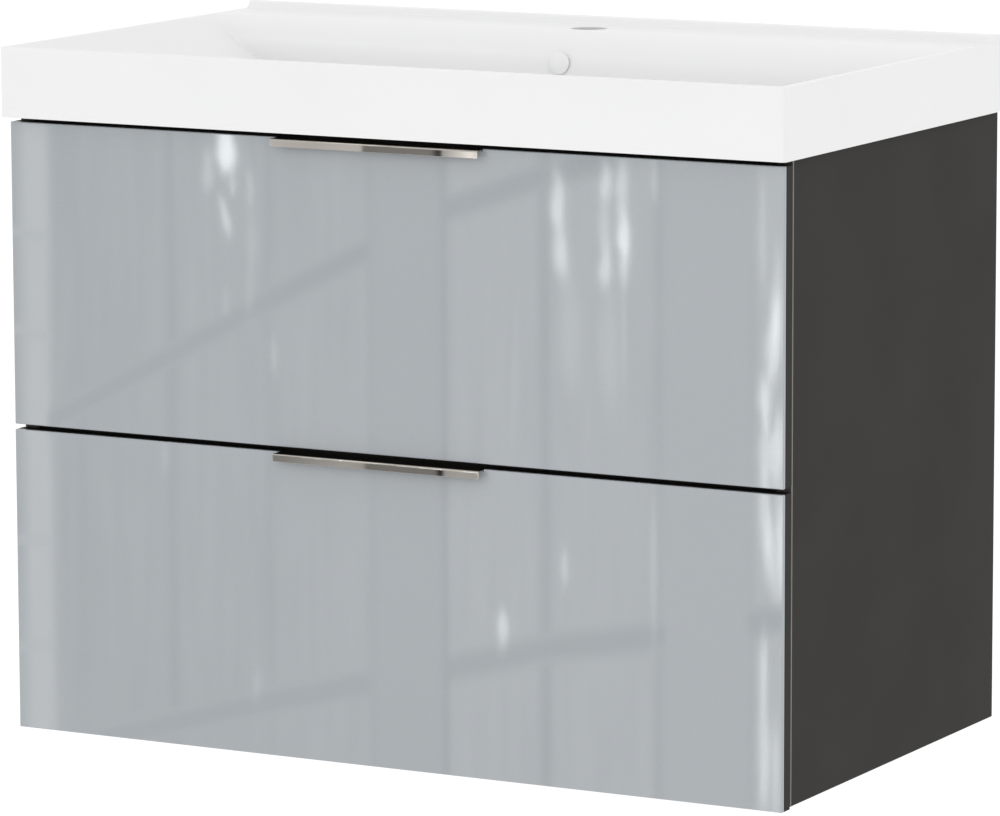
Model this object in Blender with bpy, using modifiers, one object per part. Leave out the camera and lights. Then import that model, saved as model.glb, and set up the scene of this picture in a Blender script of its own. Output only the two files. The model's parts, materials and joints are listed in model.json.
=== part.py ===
"""Wall-hung vanity unit: two drawers on full-extension runners under a cast washbasin.

Metres, +Z up. The wall is the plane y = 0 and the unit stands out of it towards -Y. The origin is the middle
of the wall-side face of the upper rear rail, and +X runs to the right as the user sees it.
"""

import math

import bmesh
import bpy
from mathutils import Matrix, Vector

GAP = 0.0003  # air between pieces that touch
PAST = 0.010  # how far a cutter runs past the solid that it cuts
SHARP = math.radians(40)  # an edge sharper than this is softened

# Case
CASE_WIDTH = 0.800
CASE_DEPTH = 0.440
CASE_HEIGHT = 0.5775
BOARD = 0.016
REAR_RAIL_HEIGHT = 0.100
LOWER_RAIL_HEIGHT = 0.080
FRONT_RAIL_HEIGHT = 0.060
FRONT_RAIL_SETBACK = 0.005
MIDDLE_RAIL_HEIGHT = 0.046
MIDDLE_RAIL_DROP = 0.024  # its lower edge below the gap between the fronts
BOARD_EDGE = 0.0006  # softened edge of every coated board

# Cabinet hangers, in the notched upper corners of the rear rail
HANGER_NOTCH = 0.050
HANGER_FOOT = -0.020
HOUSING_THICKNESS = 0.018
HOUSING_SIDE = 0.058
HOUSING_BOTTOM = -0.012
HOUSING_BACK = -0.0165
HOUSING_EDGE = 0.002
HANGER_SHEET = 0.002
HOOK_INSET = 0.0015  # from the outside of the housing
HOOK_WIDTH = 0.015
HOOK_TOP = 0.040
HOOK_FRONT = -0.015
HOOK_BACK = -0.0048
HOOK_TIP = 0.026
PLATE_INSET = 0.001
PLATE_WIDTH = 0.044
PLATE_BACK = -0.0014
PLATE_TONGUE = -0.0072
PLATE_JOGGLE = (0.012, 0.020)  # heights between which the plate steps off the wall

# Fronts
FRONT_HEIGHT = 0.285
FRONT_GAP = 0.005  # between the two fronts
TOP_GAP = 0.0045  # between the upper front and the top of the case
REVEAL = 0.0015  # between a closed front and the case
FACE_THICKNESS = 0.004
FRONT_THICKNESS = 0.016

# Handles
HANDLE_WIDTH = 0.215
HANDLE_CENTRE = -0.007  # the handles sit a little left of the middle
HANDLE_SHEET = 0.0015
HANDLE_REACH = 0.0095  # from the face to the outside of the lip
HANDLE_LIP = 0.0072
HANDLE_SINK = 0.0005  # below the top edge of the front
HANDLE_TAIL = 0.016  # flange behind the front
HANDLE_BEND = 0.0013  # radius of the sheet's middle line
HANDLE_SCREW_SPREAD = 0.160
HANDLE_SCREW_RISE = 0.006  # above the lower edge of the flange
SCREW_HEAD = 0.0035
SCREW_HEAD_HEIGHT = 0.0018
SCREW_SHANK = 0.00175
SCREW_LENGTH = 0.0125  # with its head
SCREW_HOLE = 0.0021
SCREW_HOLE_DEPTH = 0.0105
BUMPER_RADIUS = 0.004
BUMPER_EDGE = 0.0006
BUMPER_DROP = 0.022  # below the top edge of the front

# Drawers
BOX_SIDE = 0.012
BOX_HEIGHT = 0.150
BOX_LENGTH = 0.400
BOX_LIFT = 0.026  # underside of the drawer box above the lower edge of its front
BOTTOM_THICKNESS = 0.008
BOTTOM_LIFT = 0.010
GROOVE_DEPTH = 0.006
BRACKET_SHEET = 0.0015
BRACKET_LENGTH = 0.036  # along the drawer side
BRACKET_WIDTH = 0.024  # along the front
BRACKET_LIFT = 0.012  # above the drawer bottom
BRACKET_HEIGHT = 0.080
TRAP_WIDTH = 0.200
TRAP_DEPTH = 0.251
TRAP_WALL = 0.008

# Runners
RUNNER_SPACE = 0.013  # between a drawer side and its side panel
RUNNER_LENGTH = 0.398
RUNNER_HEIGHT = 0.060  # centre of the runner above the underside of the box
RUNNER_SHEET = 0.0012
RUNNER_SETBACK = 0.001
# of each profile: how far its web and its flanges' tips stand off the drawer side, and half its height
RUNNER_MEMBERS = {
    "cabinet": (0.0119, 0.0015, 0.0221),
    "middle": (0.0094, 0.0026, 0.0185),
    "drawer": (0.0009, 0.0066, 0.0145),
}

# Washbasin
BASIN_WIDTH = 0.810
BASIN_DEPTH = 0.465
BASIN_OVERHANG = 0.010  # in front of the fronts
APRON = 0.0656
BASIN_WALL = 0.012
APRON_WALL = 0.010
BASIN_EDGE = 0.0015
RIM = 0.0075
CAST_BITE = 0.004  # how far a boss or a duct reaches into the wall that it is cast on
BOWL_DEPTH = 0.090
SIDE_SLOPE = math.radians(30)  # of the bowl's side planes
FRONT_SLOPE = math.radians(45)
REAR_DRAFT = math.radians(8)
REAR_WALL = -0.1155  # where the line of the bowl's rear wall meets the level of the rim
DECK_ROUNDING = 0.040
FLOOR_ROUNDING = 0.030  # between the floor and the front and rear walls
SIDE_ROUNDING = 0.038  # between the floor and the side planes
SPLASH_HEIGHT = 0.0065
SPLASH_DEPTH = 0.020
SPLASH_CORNER = 0.011
SPLASH_BACK_CORNER = 0.002
SPLASH_INSET = 0.0005
SPLASH_ROOT = 0.006
TAP_RADIUS = 0.0175
TAP_Y = -0.0595
DRAIN_RADIUS = 0.023
DRAIN_SEAT_RADIUS = 0.0325
DRAIN_SEAT = 0.003
DRAIN_Y = -0.2225
DRAIN_BOSS_RADIUS = 0.037
DRAIN_BOSS = 0.118  # underside of the boss below the rim
OVERFLOW_DROP = 0.0280  # below the rim
OVERFLOW_RADIUS = 0.007
CAP_RADIUS = 0.0105
CAP_DOME = 0.0018
CAP_EDGE = 0.0008
CAP_STANDOFF = 0.0036  # from the bowl's rear wall to the middle of the cap
STEM_RADIUS = 0.0038
STEM_LENGTH = 0.019
STEM_BARB = 0.0009
DUCT_HALF = 0.018
DUCT_WALL = 0.005
DUCT_SKIN = 0.001  # between the duct and the bowl's wall or the overflow hole
DUCT_BACK = 0.0225  # behind the line of the rear wall
DUCT_ROOF = 0.1035  # below the rim, under the floor of the bowl
DUCT_FOOT = 0.111

CASE_TOP = REAR_RAIL_HEIGHT / 2
CASE_BOTTOM = CASE_TOP - CASE_HEIGHT
CASE_INNER = CASE_WIDTH / 2 - BOARD
FRONT_BACK = -CASE_DEPTH - REVEAL
FACE_Y = FRONT_BACK - FRONT_THICKNESS
BOARD_FRONT = FACE_Y + FACE_THICKNESS + GAP
UPPER_FRONT = CASE_TOP - TOP_GAP - FRONT_HEIGHT
LOWER_FRONT = UPPER_FRONT - FRONT_GAP - FRONT_HEIGHT
BOX_OUTER = CASE_INNER - RUNNER_SPACE
BOX_INNER = BOX_OUTER - BOX_SIDE
BOX_FRONT = FRONT_BACK + GAP
BOX_BACK = FRONT_BACK + BOX_LENGTH
APRON_BOTTOM = CASE_TOP + GAP
RIM_Z = APRON_BOTTOM + APRON
BASIN_FRONT = FACE_Y - BASIN_OVERHANG
BASIN_BACK = BASIN_FRONT + BASIN_DEPTH
SIDES = (("left", -1), ("right", 1))

# An outline pushed along an axis lies in the other two, in this order: y and z, x and z, or x and y.
TURNS = {
    "X": (math.pi / 2, 0, math.pi / 2),
    "Y": (math.pi / 2, 0, 0),
    "Z": (0, 0, 0),
}


def clear_scene():
    for item in list(bpy.data.objects):
        bpy.data.objects.remove(item)


def collection(name):
    made = bpy.data.collections.new(name)
    bpy.context.scene.collection.children.link(made)
    return made


def material(name, colour, roughness, metallic=0.0):
    made = bpy.data.materials.new(name)
    made.use_nodes = True
    shader = made.node_tree.nodes["Principled BSDF"]
    shader.inputs["Base Color"].default_value = (*colour, 1)
    shader.inputs["Roughness"].default_value = roughness
    shader.inputs["Metallic"].default_value = metallic
    return made


clear_scene()
PARTS = collection("vanity_unit")
CUTTERS = collection("vanity_unit_cutters")
ANTHRACITE = material("anthracite_board", (0.058, 0.056, 0.053), 0.55)
BOX_BOARD = material("drawer_board", (0.30, 0.31, 0.32), 0.6)
FACE = material("grey_gloss_face", (0.40, 0.43, 0.45), 0.06)
CAST = material("white_cast", (0.86, 0.86, 0.86), 0.12)
NICKEL = material("brushed_nickel", (0.58, 0.55, 0.51), 0.25, 1.0)
WHITE_PLASTIC = material("white_plastic", (0.82, 0.82, 0.81), 0.15)
ZINC = material("zinc_plated_steel", (0.55, 0.56, 0.57), 0.35, 1.0)
HOUSING = material("grey_plastic", (0.35, 0.35, 0.36), 0.5)
RUBBER = material("clear_rubber", (0.75, 0.75, 0.74), 0.4)


def add(name, mesh, look):
    part = bpy.data.objects.new(name, mesh)
    if look:
        mesh.materials.append(look)
    PARTS.objects.link(part)
    return part


def soften(part, width, segments=1):
    bevel = part.modifiers.new("edges", "BEVEL")
    bevel.width = width
    bevel.segments = segments
    bevel.limit_method = "ANGLE"
    bevel.angle_limit = SHARP


def box(name, low, high, look=None, edge=0.0, segments=1):
    size = Vector(high) - Vector(low)
    shape = bmesh.new()
    bmesh.ops.create_cube(shape, size=1)
    bmesh.ops.scale(shape, vec=size, verts=shape.verts)
    mesh = bpy.data.meshes.new(name)
    shape.to_mesh(mesh)
    shape.free()
    part = add(name, mesh, look)
    part.location = Vector(low) + size / 2
    if edge:
        soften(part, edge, segments)
    return part


def mirrored(sign, inner, outer):
    """The x range of a piece between two distances from the middle, on the left or on the right."""
    return sorted((sign * inner, sign * outer))


def rod(name, radius, start, end, axis="Z", segments=32):
    """A cylinder between two points on a line along one axis, to cut with or to join on."""
    start = Vector(start)
    end = Vector(end)
    shape = bmesh.new()
    size = {"radius1": radius, "radius2": radius, "depth": (end - start).length}
    bmesh.ops.create_cone(shape, cap_ends=True, segments=segments, **size)
    mesh = bpy.data.meshes.new(name)
    shape.to_mesh(mesh)
    shape.free()
    part = add(name, mesh, None)
    part.location = (start + end) / 2
    part.rotation_euler = TURNS[axis]
    return part


def rounded(corners, segments=8):
    """An outline whose corners (u, v, radius) are arcs. A radius of 0 leaves the corner sharp."""
    points = []
    count = len(corners)
    for i, (u, v, radius) in enumerate(corners):
        corner = Vector((u, v))
        if not radius:
            points.append((u, v))
            continue
        before = (Vector(corners[i - 1][:2]) - corner).normalized()
        after = (Vector(corners[(i + 1) % count][:2]) - corner).normalized()
        half = before.angle(after) / 2
        centre = corner + (before + after).normalized() * radius / math.sin(half)
        first = corner + before * radius / math.tan(half) - centre
        turn = math.copysign(math.pi - 2 * half, first.cross(corner - centre))
        for step in range(segments + 1):
            spoke = Matrix.Rotation(turn * step / segments, 2) @ first
            points.append(tuple(centre + spoke))
    return points


def outline_mesh(name, points, length, closed):
    """The mesh of a flat outline with the given length, or of an open strip."""
    curve = bpy.data.curves.new(name, "CURVE")
    curve.dimensions = "2D"
    curve.fill_mode = "BOTH" if closed else "NONE"
    curve.extrude = length / 2
    spline = curve.splines.new("POLY")
    spline.points.add(len(points) - 1)
    for place, (u, v) in zip(spline.points, points):
        place.co = (u, v, 0, 1)
    spline.use_cyclic_u = closed
    holder = bpy.data.objects.new(name, curve)
    PARTS.objects.link(holder)
    ready = holder.evaluated_get(bpy.context.evaluated_depsgraph_get())
    mesh = bpy.data.meshes.new_from_object(ready)
    bpy.data.objects.remove(holder)
    bpy.data.curves.remove(curve)
    shape = bmesh.new()
    shape.from_mesh(mesh)
    bmesh.ops.remove_doubles(shape, verts=shape.verts, dist=1e-6)
    if closed:
        bmesh.ops.dissolve_limit(shape, angle_limit=1e-3, verts=shape.verts, edges=shape.edges)
        bmesh.ops.recalc_face_normals(shape, faces=shape.faces)
    shape.to_mesh(mesh)
    shape.free()
    mesh.name = name
    mesh.materials.clear()
    return mesh


def place_along(part, axis, start, end):
    part.rotation_euler = TURNS[axis]
    part.location["XYZ".index(axis)] = (start + end) / 2


def extruded(name, points, axis, start, end, look=None):
    """A solid with a flat outline, from start to end along one axis."""
    part = add(name, outline_mesh(name, points, abs(end - start), True), look)
    place_along(part, axis, start, end)
    return part


def folded(name, path, axis, start, end, thickness, look):
    """A bent sheet: its middle line is the path, from start to end along one axis."""
    part = add(name, outline_mesh(name, path, abs(end - start), False), look)
    place_along(part, axis, start, end)
    sheet = part.modifiers.new("sheet", "SOLIDIFY")
    sheet.thickness = thickness
    sheet.offset = 0
    sheet.use_even_offset = True
    return part


def turned(name, profile, place, look, rotation=(0, 0, 0), steps=24):
    """A turned piece: profile points (radius, height) run down the outer side from the axis back to it."""
    mesh = bpy.data.meshes.new(name)
    shape = bmesh.new()
    corners = [shape.verts.new((radius, 0, height)) for radius, height in profile]
    for first, second in zip(corners, corners[1:]):
        shape.edges.new((first, second))
    shape.to_mesh(mesh)
    shape.free()
    part = add(name, mesh, look)
    part.location = place
    part.rotation_euler = rotation
    lathe = part.modifiers.new("lathe", "SCREW")
    lathe.steps = steps
    lathe.render_steps = steps
    lathe.use_merge_vertices = True
    lathe.merge_threshold = 1e-6
    return part


def combine(part, other, operation):
    """A Boolean with a guide, which moves from the parts to the cutters. A guide may serve several parts."""
    step = part.modifiers.new(other.name, "BOOLEAN")
    step.operation = operation
    step.solver = "EXACT"
    step.object = other
    if other.name in PARTS.objects:
        PARTS.objects.unlink(other)
        CUTTERS.objects.link(other)
    other.hide_render = True
    other.display_type = "WIRE"
    return part


def cut(part, cutter):
    return combine(part, cutter, "DIFFERENCE")


def join(part, other):
    return combine(part, other, "UNION")


def case():
    for side, sign in SIDES:
        x = mirrored(sign, CASE_INNER, CASE_WIDTH / 2)
        low = (x[0], -CASE_DEPTH, CASE_BOTTOM)
        box(f"side_panel_{side}", low, (x[1], 0, CASE_TOP), ANTHRACITE, BOARD_EDGE)
    reach = CASE_INNER - GAP
    floor = CASE_BOTTOM + BOARD
    box("bottom_panel", (-reach, -CASE_DEPTH, CASE_BOTTOM), (reach, 0, floor), ANTHRACITE, BOARD_EDGE)
    front = -CASE_DEPTH + FRONT_RAIL_SETBACK
    low = (-reach, front, CASE_TOP - FRONT_RAIL_HEIGHT)
    box("front_rail", low, (reach, front + BOARD, CASE_TOP), ANTHRACITE, BOARD_EDGE)
    low = (-reach, front, UPPER_FRONT - MIDDLE_RAIL_DROP)
    box("middle_rail", low, (reach, front + BOARD, low[2] + MIDDLE_RAIL_HEIGHT), ANTHRACITE, BOARD_EDGE)
    low = (-reach, -BOARD, floor + GAP)
    box("lower_rear_rail", low, (reach, 0, low[2] + LOWER_RAIL_HEIGHT), ANTHRACITE, BOARD_EDGE)
    rail = box("rear_rail", (-reach, -BOARD, -CASE_TOP), (reach, 0, CASE_TOP), ANTHRACITE)
    for side, sign in SIDES:
        x = mirrored(sign, CASE_INNER - HANGER_NOTCH, CASE_INNER + BOARD)
        low = (x[0], -BOARD - PAST, HANGER_FOOT)
        cut(rail, box(f"hanger_notch_{side}", low, (x[1], PAST, CASE_TOP + PAST)))


def hangers():
    """In each upper rear corner a housing on the side panel, whose hook hangs on a plate on the wall."""
    tongue_top = HOOK_TOP - HANGER_SHEET / 2 - BOARD_EDGE
    hook = [(HOOK_FRONT, 0), (HOOK_FRONT, HOOK_TOP), (HOOK_BACK, HOOK_TOP), (HOOK_BACK, HOOK_TIP)]
    plate = [
        (PLATE_BACK, HANGER_FOOT + HANGER_SHEET),
        (PLATE_BACK, PLATE_JOGGLE[0]),
        (PLATE_TONGUE, PLATE_JOGGLE[1]),
        (PLATE_TONGUE, tongue_top),
    ]
    outer = CASE_INNER - GAP
    for side, sign in SIDES:
        x = mirrored(sign, outer - HOUSING_THICKNESS, outer)
        low = (x[0], HOUSING_BACK - HOUSING_SIDE, HOUSING_BOTTOM)
        high = (x[1], HOUSING_BACK, HOUSING_BOTTOM + HOUSING_SIDE)
        box(f"hanger_housing_{side}", low, high, HOUSING, HOUSING_EDGE, 2)
        x = mirrored(sign, outer - HOOK_INSET - HOOK_WIDTH, outer - HOOK_INSET)
        folded(f"hanger_hook_{side}", hook, "X", *x, HANGER_SHEET, ZINC)
        x = mirrored(sign, outer - PLATE_INSET - PLATE_WIDTH, outer - PLATE_INSET)
        folded(f"wall_plate_{side}", plate, "X", *x, HANGER_SHEET, ZINC)


def bowl(name, wall, top):
    """The bowl's hollow, or with a wall the body around it: a side profile meets a front profile."""
    depth = BOWL_DEPTH + wall
    floor = RIM_Z - depth
    front_rim = BASIN_FRONT + RIM - wall / math.sin(FRONT_SLOPE)
    front_edge = max(front_rim, BASIN_FRONT + RIM / 2)
    front_drop = (front_edge - front_rim) * math.tan(FRONT_SLOPE)
    rear_rim = REAR_WALL + wall / math.cos(REAR_DRAFT)
    deck = RIM_Z - wall
    deck_corner = rear_rim - wall * math.tan(REAR_DRAFT)
    deck_rounding = DECK_ROUNDING - wall
    deck_start = deck_corner + deck_rounding * math.tan((math.pi / 2 - REAR_DRAFT) / 2)
    side_profile = rounded(
        [
            (front_edge, RIM_Z + top, 0),
            (front_edge, RIM_Z - front_drop, 0),
            (front_rim + depth / math.tan(FRONT_SLOPE), floor, FLOOR_ROUNDING + wall),
            (rear_rim - depth * math.tan(REAR_DRAFT), floor, FLOOR_ROUNDING + wall),
            (deck_corner, deck, deck_rounding),
            (deck_start, deck, 0),
            (deck_start, RIM_Z + top, 0),
        ]
    )
    side_rim = BASIN_WIDTH / 2 - RIM + wall / math.sin(SIDE_SLOPE)
    side_edge = min(side_rim, BASIN_WIDTH / 2 - RIM / 2)
    side_drop = (side_rim - side_edge) * math.tan(SIDE_SLOPE)
    side_floor = side_rim - depth / math.tan(SIDE_SLOPE)
    side_corner = (side_floor, floor, SIDE_ROUNDING + wall)
    half = [(side_edge, RIM_Z + top, 0), (side_edge, RIM_Z - side_drop, 0), side_corner]
    other_half = [(-x, z, radius) for x, z, radius in reversed(half)]
    front_profile = rounded(half + other_half)
    body = extruded(name, side_profile, "X", -BASIN_WIDTH, BASIN_WIDTH)
    sides = extruded(f"{name}_sides", front_profile, "Y", -2 * BASIN_DEPTH, BASIN_DEPTH)
    return combine(body, sides, "INTERSECT")


def washbasin():
    half = BASIN_WIDTH / 2
    block_low = (-half, BASIN_FRONT, APRON_BOTTOM)
    basin = box("washbasin", block_low, (half, BASIN_BACK, RIM_Z), CAST, BASIN_EDGE, 3)
    splash_end = half - SPLASH_INSET
    splash_back = BASIN_BACK - SPLASH_INSET
    splash_front = BASIN_BACK - SPLASH_DEPTH
    splash_corners = [
        (-splash_end, splash_back, SPLASH_BACK_CORNER),
        (-splash_end, splash_front, SPLASH_CORNER),
        (splash_end, splash_front, SPLASH_CORNER),
        (splash_end, splash_back, SPLASH_BACK_CORNER),
    ]
    splash_range = (RIM_Z - SPLASH_ROOT, RIM_Z + SPLASH_HEIGHT)
    splash = extruded("basin_splash_lip", rounded(splash_corners), "Z", *splash_range)
    soften(splash, BASIN_EDGE, 2)
    join(basin, splash)
    hollow_low = (-half + APRON_WALL, BASIN_FRONT + APRON_WALL, APRON_BOTTOM - PAST)
    hollow_high = (half - APRON_WALL, BASIN_BACK - APRON_WALL, RIM_Z - BASIN_WALL)
    cut(basin, box("basin_underside", hollow_low, hollow_high))
    join(basin, bowl("basin_shell", BASIN_WALL, -CAST_BITE))
    drain = Vector((0, DRAIN_Y, RIM_Z))
    boss_top = drain - Vector((0, 0, BOWL_DEPTH + CAST_BITE))
    boss_foot = drain - Vector((0, 0, DRAIN_BOSS))
    join(basin, rod("drain_boss", DRAIN_BOSS_RADIUS, boss_foot, boss_top))
    overflow_duct(basin, outside=True)
    cut(basin, bowl("basin_bowl", 0, PAST))
    cut(basin, rod("drain_hole", DRAIN_RADIUS, boss_foot - Vector((0, 0, PAST)), drain))
    seat_foot = drain - Vector((0, 0, BOWL_DEPTH + DRAIN_SEAT))
    cut(basin, rod("drain_seat", DRAIN_SEAT_RADIUS, seat_foot, drain))
    tap_foot = (0, TAP_Y, RIM_Z - BASIN_WALL - PAST)
    cut(basin, rod("tap_hole", TAP_RADIUS, tap_foot, (0, TAP_Y, RIM_Z + PAST), segments=48))
    overflow_duct(basin, outside=False)


def overflow_duct(basin, outside):
    """A flat duct cast on the bowl, down behind its rear wall and forward under its floor to the drain."""
    wall = DUCT_WALL if outside else 0
    bite = CAST_BITE if outside else 0
    front = REAR_WALL + BASIN_WALL + DUCT_SKIN - bite
    back = REAR_WALL + DUCT_BACK + wall
    overflow_z = RIM_Z - OVERFLOW_DROP
    top = overflow_z + OVERFLOW_RADIUS + DUCT_SKIN + wall
    roof = RIM_Z - DUCT_ROOF + bite
    foot = RIM_Z - DUCT_FOOT - wall
    outline = [(front, top), (back, top), (back, foot), (DRAIN_Y, foot), (DRAIN_Y, roof), (front, roof)]
    half = DUCT_HALF + wall
    if outside:
        join(basin, extruded("duct_body", outline, "X", -half, half))
        return
    cut(basin, extruded("duct_hollow", outline, "X", -half, half))
    mouth = (0, REAR_WALL - PAST, overflow_z)
    behind = (0, (front + back) / 2, overflow_z)
    cut(basin, rod("overflow_hole", OVERFLOW_RADIUS, mouth, behind, "Y", 24))


def overflow_cap():
    """A domed cap that stands clear of the wall, on a barbed stem through the overflow hole."""
    wall_y = REAR_WALL - OVERFLOW_DROP * math.tan(REAR_DRAFT)
    steps = 4
    profile = [(CAP_RADIUS * i / steps, -CAP_DOME * (i / steps) ** 2) for i in range(steps + 1)]
    profile += [
        (CAP_RADIUS, -CAP_DOME - CAP_EDGE),
        (STEM_RADIUS, -CAP_DOME - CAP_EDGE),
        (STEM_RADIUS, 4 * STEM_BARB - STEM_LENGTH),
        (STEM_RADIUS + STEM_BARB, 2.5 * STEM_BARB - STEM_LENGTH),
        (STEM_RADIUS, -STEM_LENGTH),
        (0, -STEM_LENGTH),
    ]
    place = (0, wall_y - CAP_STANDOFF, RIM_Z - OVERFLOW_DROP)
    turned("overflow_cap", profile, place, WHITE_PLASTIC, (math.pi / 2 - REAR_DRAFT, 0, 0), 32)


def runners(drawer, box_bottom):
    """Three nested profiles on each side: on the side panel, travelling between, and on the drawer side."""
    height = box_bottom + RUNNER_HEIGHT
    front = -CASE_DEPTH + RUNNER_SETBACK
    drawer_pieces = []
    middle_pieces = []
    for side, sign in SIDES:
        for member, (web, tip, half_height) in RUNNER_MEMBERS.items():
            web_x = sign * (BOX_OUTER + web)
            tip_x = sign * (BOX_OUTER + tip)
            upper = height + half_height
            lower = height - half_height
            path = [(tip_x, upper), (web_x, upper), (web_x, lower), (tip_x, lower)]
            name = f"{drawer}_runner_{member}_{side}"
            profile = folded(name, path, "Y", front, front + RUNNER_LENGTH, RUNNER_SHEET, ZINC)
            if member == "drawer":
                drawer_pieces.append(profile)
            if member == "middle":
                middle_pieces.append(profile)
    return drawer_pieces, middle_pieces


def handle(drawer, top):
    """A bent strip over the top edge of the front: a lip to pull on, and a flange screwed on behind."""
    half_sheet = HANDLE_SHEET / 2
    lip = FACE_Y - HANDLE_REACH + half_sheet
    flange = FRONT_BACK + GAP + half_sheet
    level = top - HANDLE_SINK - half_sheet
    path = rounded(
        [
            (lip, top - HANDLE_SINK - HANDLE_LIP, 0),
            (lip, level, HANDLE_BEND),
            (flange, level, HANDLE_BEND),
            (flange, top - HANDLE_TAIL, 0),
        ],
        4,
    )
    ends = (HANDLE_CENTRE - HANDLE_WIDTH / 2, HANDLE_CENTRE + HANDLE_WIDTH / 2)
    return folded(f"{drawer}_handle", path, "X", *ends, HANDLE_SHEET, NICKEL)


def handle_screw(drawer, side, x, z):
    """A pan-head screw through the handle's flange into the board, and the hole it sits in."""
    seat = FRONT_BACK + GAP + HANDLE_SHEET + GAP
    profile = [
        (0, 0),
        (SCREW_HEAD * 0.6, -SCREW_HEAD_HEIGHT * 0.15),
        (SCREW_HEAD, -SCREW_HEAD_HEIGHT * 0.55),
        (SCREW_HEAD, -SCREW_HEAD_HEIGHT),
        (SCREW_SHANK, -SCREW_HEAD_HEIGHT),
        (SCREW_SHANK, SCREW_SHANK - SCREW_LENGTH),
        (0, -SCREW_LENGTH),
    ]
    place = (x, seat + SCREW_HEAD_HEIGHT, z)
    screw = turned(f"{drawer}_handle_screw_{side}", profile, place, ZINC, (-math.pi / 2, 0, 0), 16)
    inner_end = (x, FRONT_BACK - SCREW_HOLE_DEPTH, z)
    hole = rod(f"{drawer}_handle_hole_{side}", SCREW_HOLE, inner_end, (x, seat + PAST, z), "Y", 16)
    return screw, hole


def front(drawer, bottom):
    """The board and its glossy face sheet, with the handle let into their top edges."""
    half = CASE_WIDTH / 2
    top = bottom + FRONT_HEIGHT
    high = (half, FRONT_BACK, top)
    board = box(f"{drawer}_front_board", (-half, BOARD_FRONT, bottom), high, ANTHRACITE, BOARD_EDGE)
    high = (half, FACE_Y + FACE_THICKNESS, top)
    face = box(f"{drawer}_front_face", (-half, FACE_Y, bottom), high, FACE, BOARD_EDGE)
    reach = HANDLE_WIDTH / 2 + GAP
    low = (HANDLE_CENTRE - reach, FACE_Y - PAST, top - HANDLE_SINK - HANDLE_SHEET - GAP)
    recess = box(f"{drawer}_handle_recess", low, (HANDLE_CENTRE + reach, FRONT_BACK + PAST, top + PAST))
    cut(board, recess)
    cut(face, recess)
    pull = handle(drawer, top)
    pieces = [board, face, pull]
    for side, sign in SIDES:
        x = HANDLE_CENTRE + sign * HANDLE_SCREW_SPREAD / 2
        screw, hole = handle_screw(drawer, side, x, top - HANDLE_TAIL + HANDLE_SCREW_RISE)
        cut(pull, hole)
        cut(board, hole)
        pieces.append(screw)
        pieces.append(bumper(drawer, side, (sign * (half - BOARD / 2), FRONT_BACK + GAP, top - BUMPER_DROP)))
    return pieces


def bumper(drawer, side, place):
    """A small buffer behind the front, which meets the edge of the side panel."""
    thickness = REVEAL - 2 * GAP
    profile = [
        (0, thickness),
        (BUMPER_RADIUS - BUMPER_EDGE, thickness),
        (BUMPER_RADIUS, thickness - BUMPER_EDGE),
        (BUMPER_RADIUS, 0),
        (0, 0),
    ]
    return turned(f"{drawer}_bumper_{side}", profile, place, RUBBER, (-math.pi / 2, 0, 0))


def drawer_sides(drawer, low_z, high_z):
    """The two sides, each grooved for the bottom, and the angle that fastens each to the front board."""
    pieces = []
    floor = low_z + BOTTOM_LIFT
    for side, sign in SIDES:
        x = mirrored(sign, BOX_INNER, BOX_OUTER)
        high = (x[1], BOX_BACK, high_z)
        board = box(f"{drawer}_side_{side}", (x[0], BOX_FRONT, low_z), high, BOX_BOARD, BOARD_EDGE)
        x = mirrored(sign, BOX_INNER - PAST, BOX_INNER + GROOVE_DEPTH)
        groove_low = (x[0], BOX_FRONT - PAST, floor - GAP)
        groove_high = (x[1], BOX_BACK + PAST, floor + BOTTOM_THICKNESS + GAP)
        cut(board, box(f"{drawer}_groove_{side}", groove_low, groove_high))
        pieces.append(board)
        inset = GAP + BRACKET_SHEET / 2
        leg_x = sign * (BOX_INNER - inset)
        leg_y = BOX_FRONT + BRACKET_SHEET / 2
        path = [(leg_x, BOX_FRONT + BRACKET_LENGTH), (leg_x, leg_y), (leg_x - sign * BRACKET_WIDTH, leg_y)]
        foot = floor + BOTTOM_THICKNESS + BRACKET_LIFT
        name = f"{drawer}_front_bracket_{side}"
        pieces.append(folded(name, path, "Z", foot, foot + BRACKET_HEIGHT, BRACKET_SHEET, ZINC))
    return pieces


def lower_box(drawer, low_z, high_z):
    """The bottom and the back of a plain drawer."""
    reach = BOX_INNER + GROOVE_DEPTH - GAP
    floor = low_z + BOTTOM_LIFT
    shelf = floor + BOTTOM_THICKNESS
    bottom = box(f"{drawer}_bottom", (-reach, BOX_FRONT, floor), (reach, BOX_BACK, shelf), BOX_BOARD)
    inner = BOX_INNER - GAP
    back_low = (-inner, BOX_BACK - BOX_SIDE, shelf + GAP)
    back = box(f"{drawer}_back", back_low, (inner, BOX_BACK, high_z), BOX_BOARD, BOARD_EDGE)
    return [bottom, back]


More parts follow.
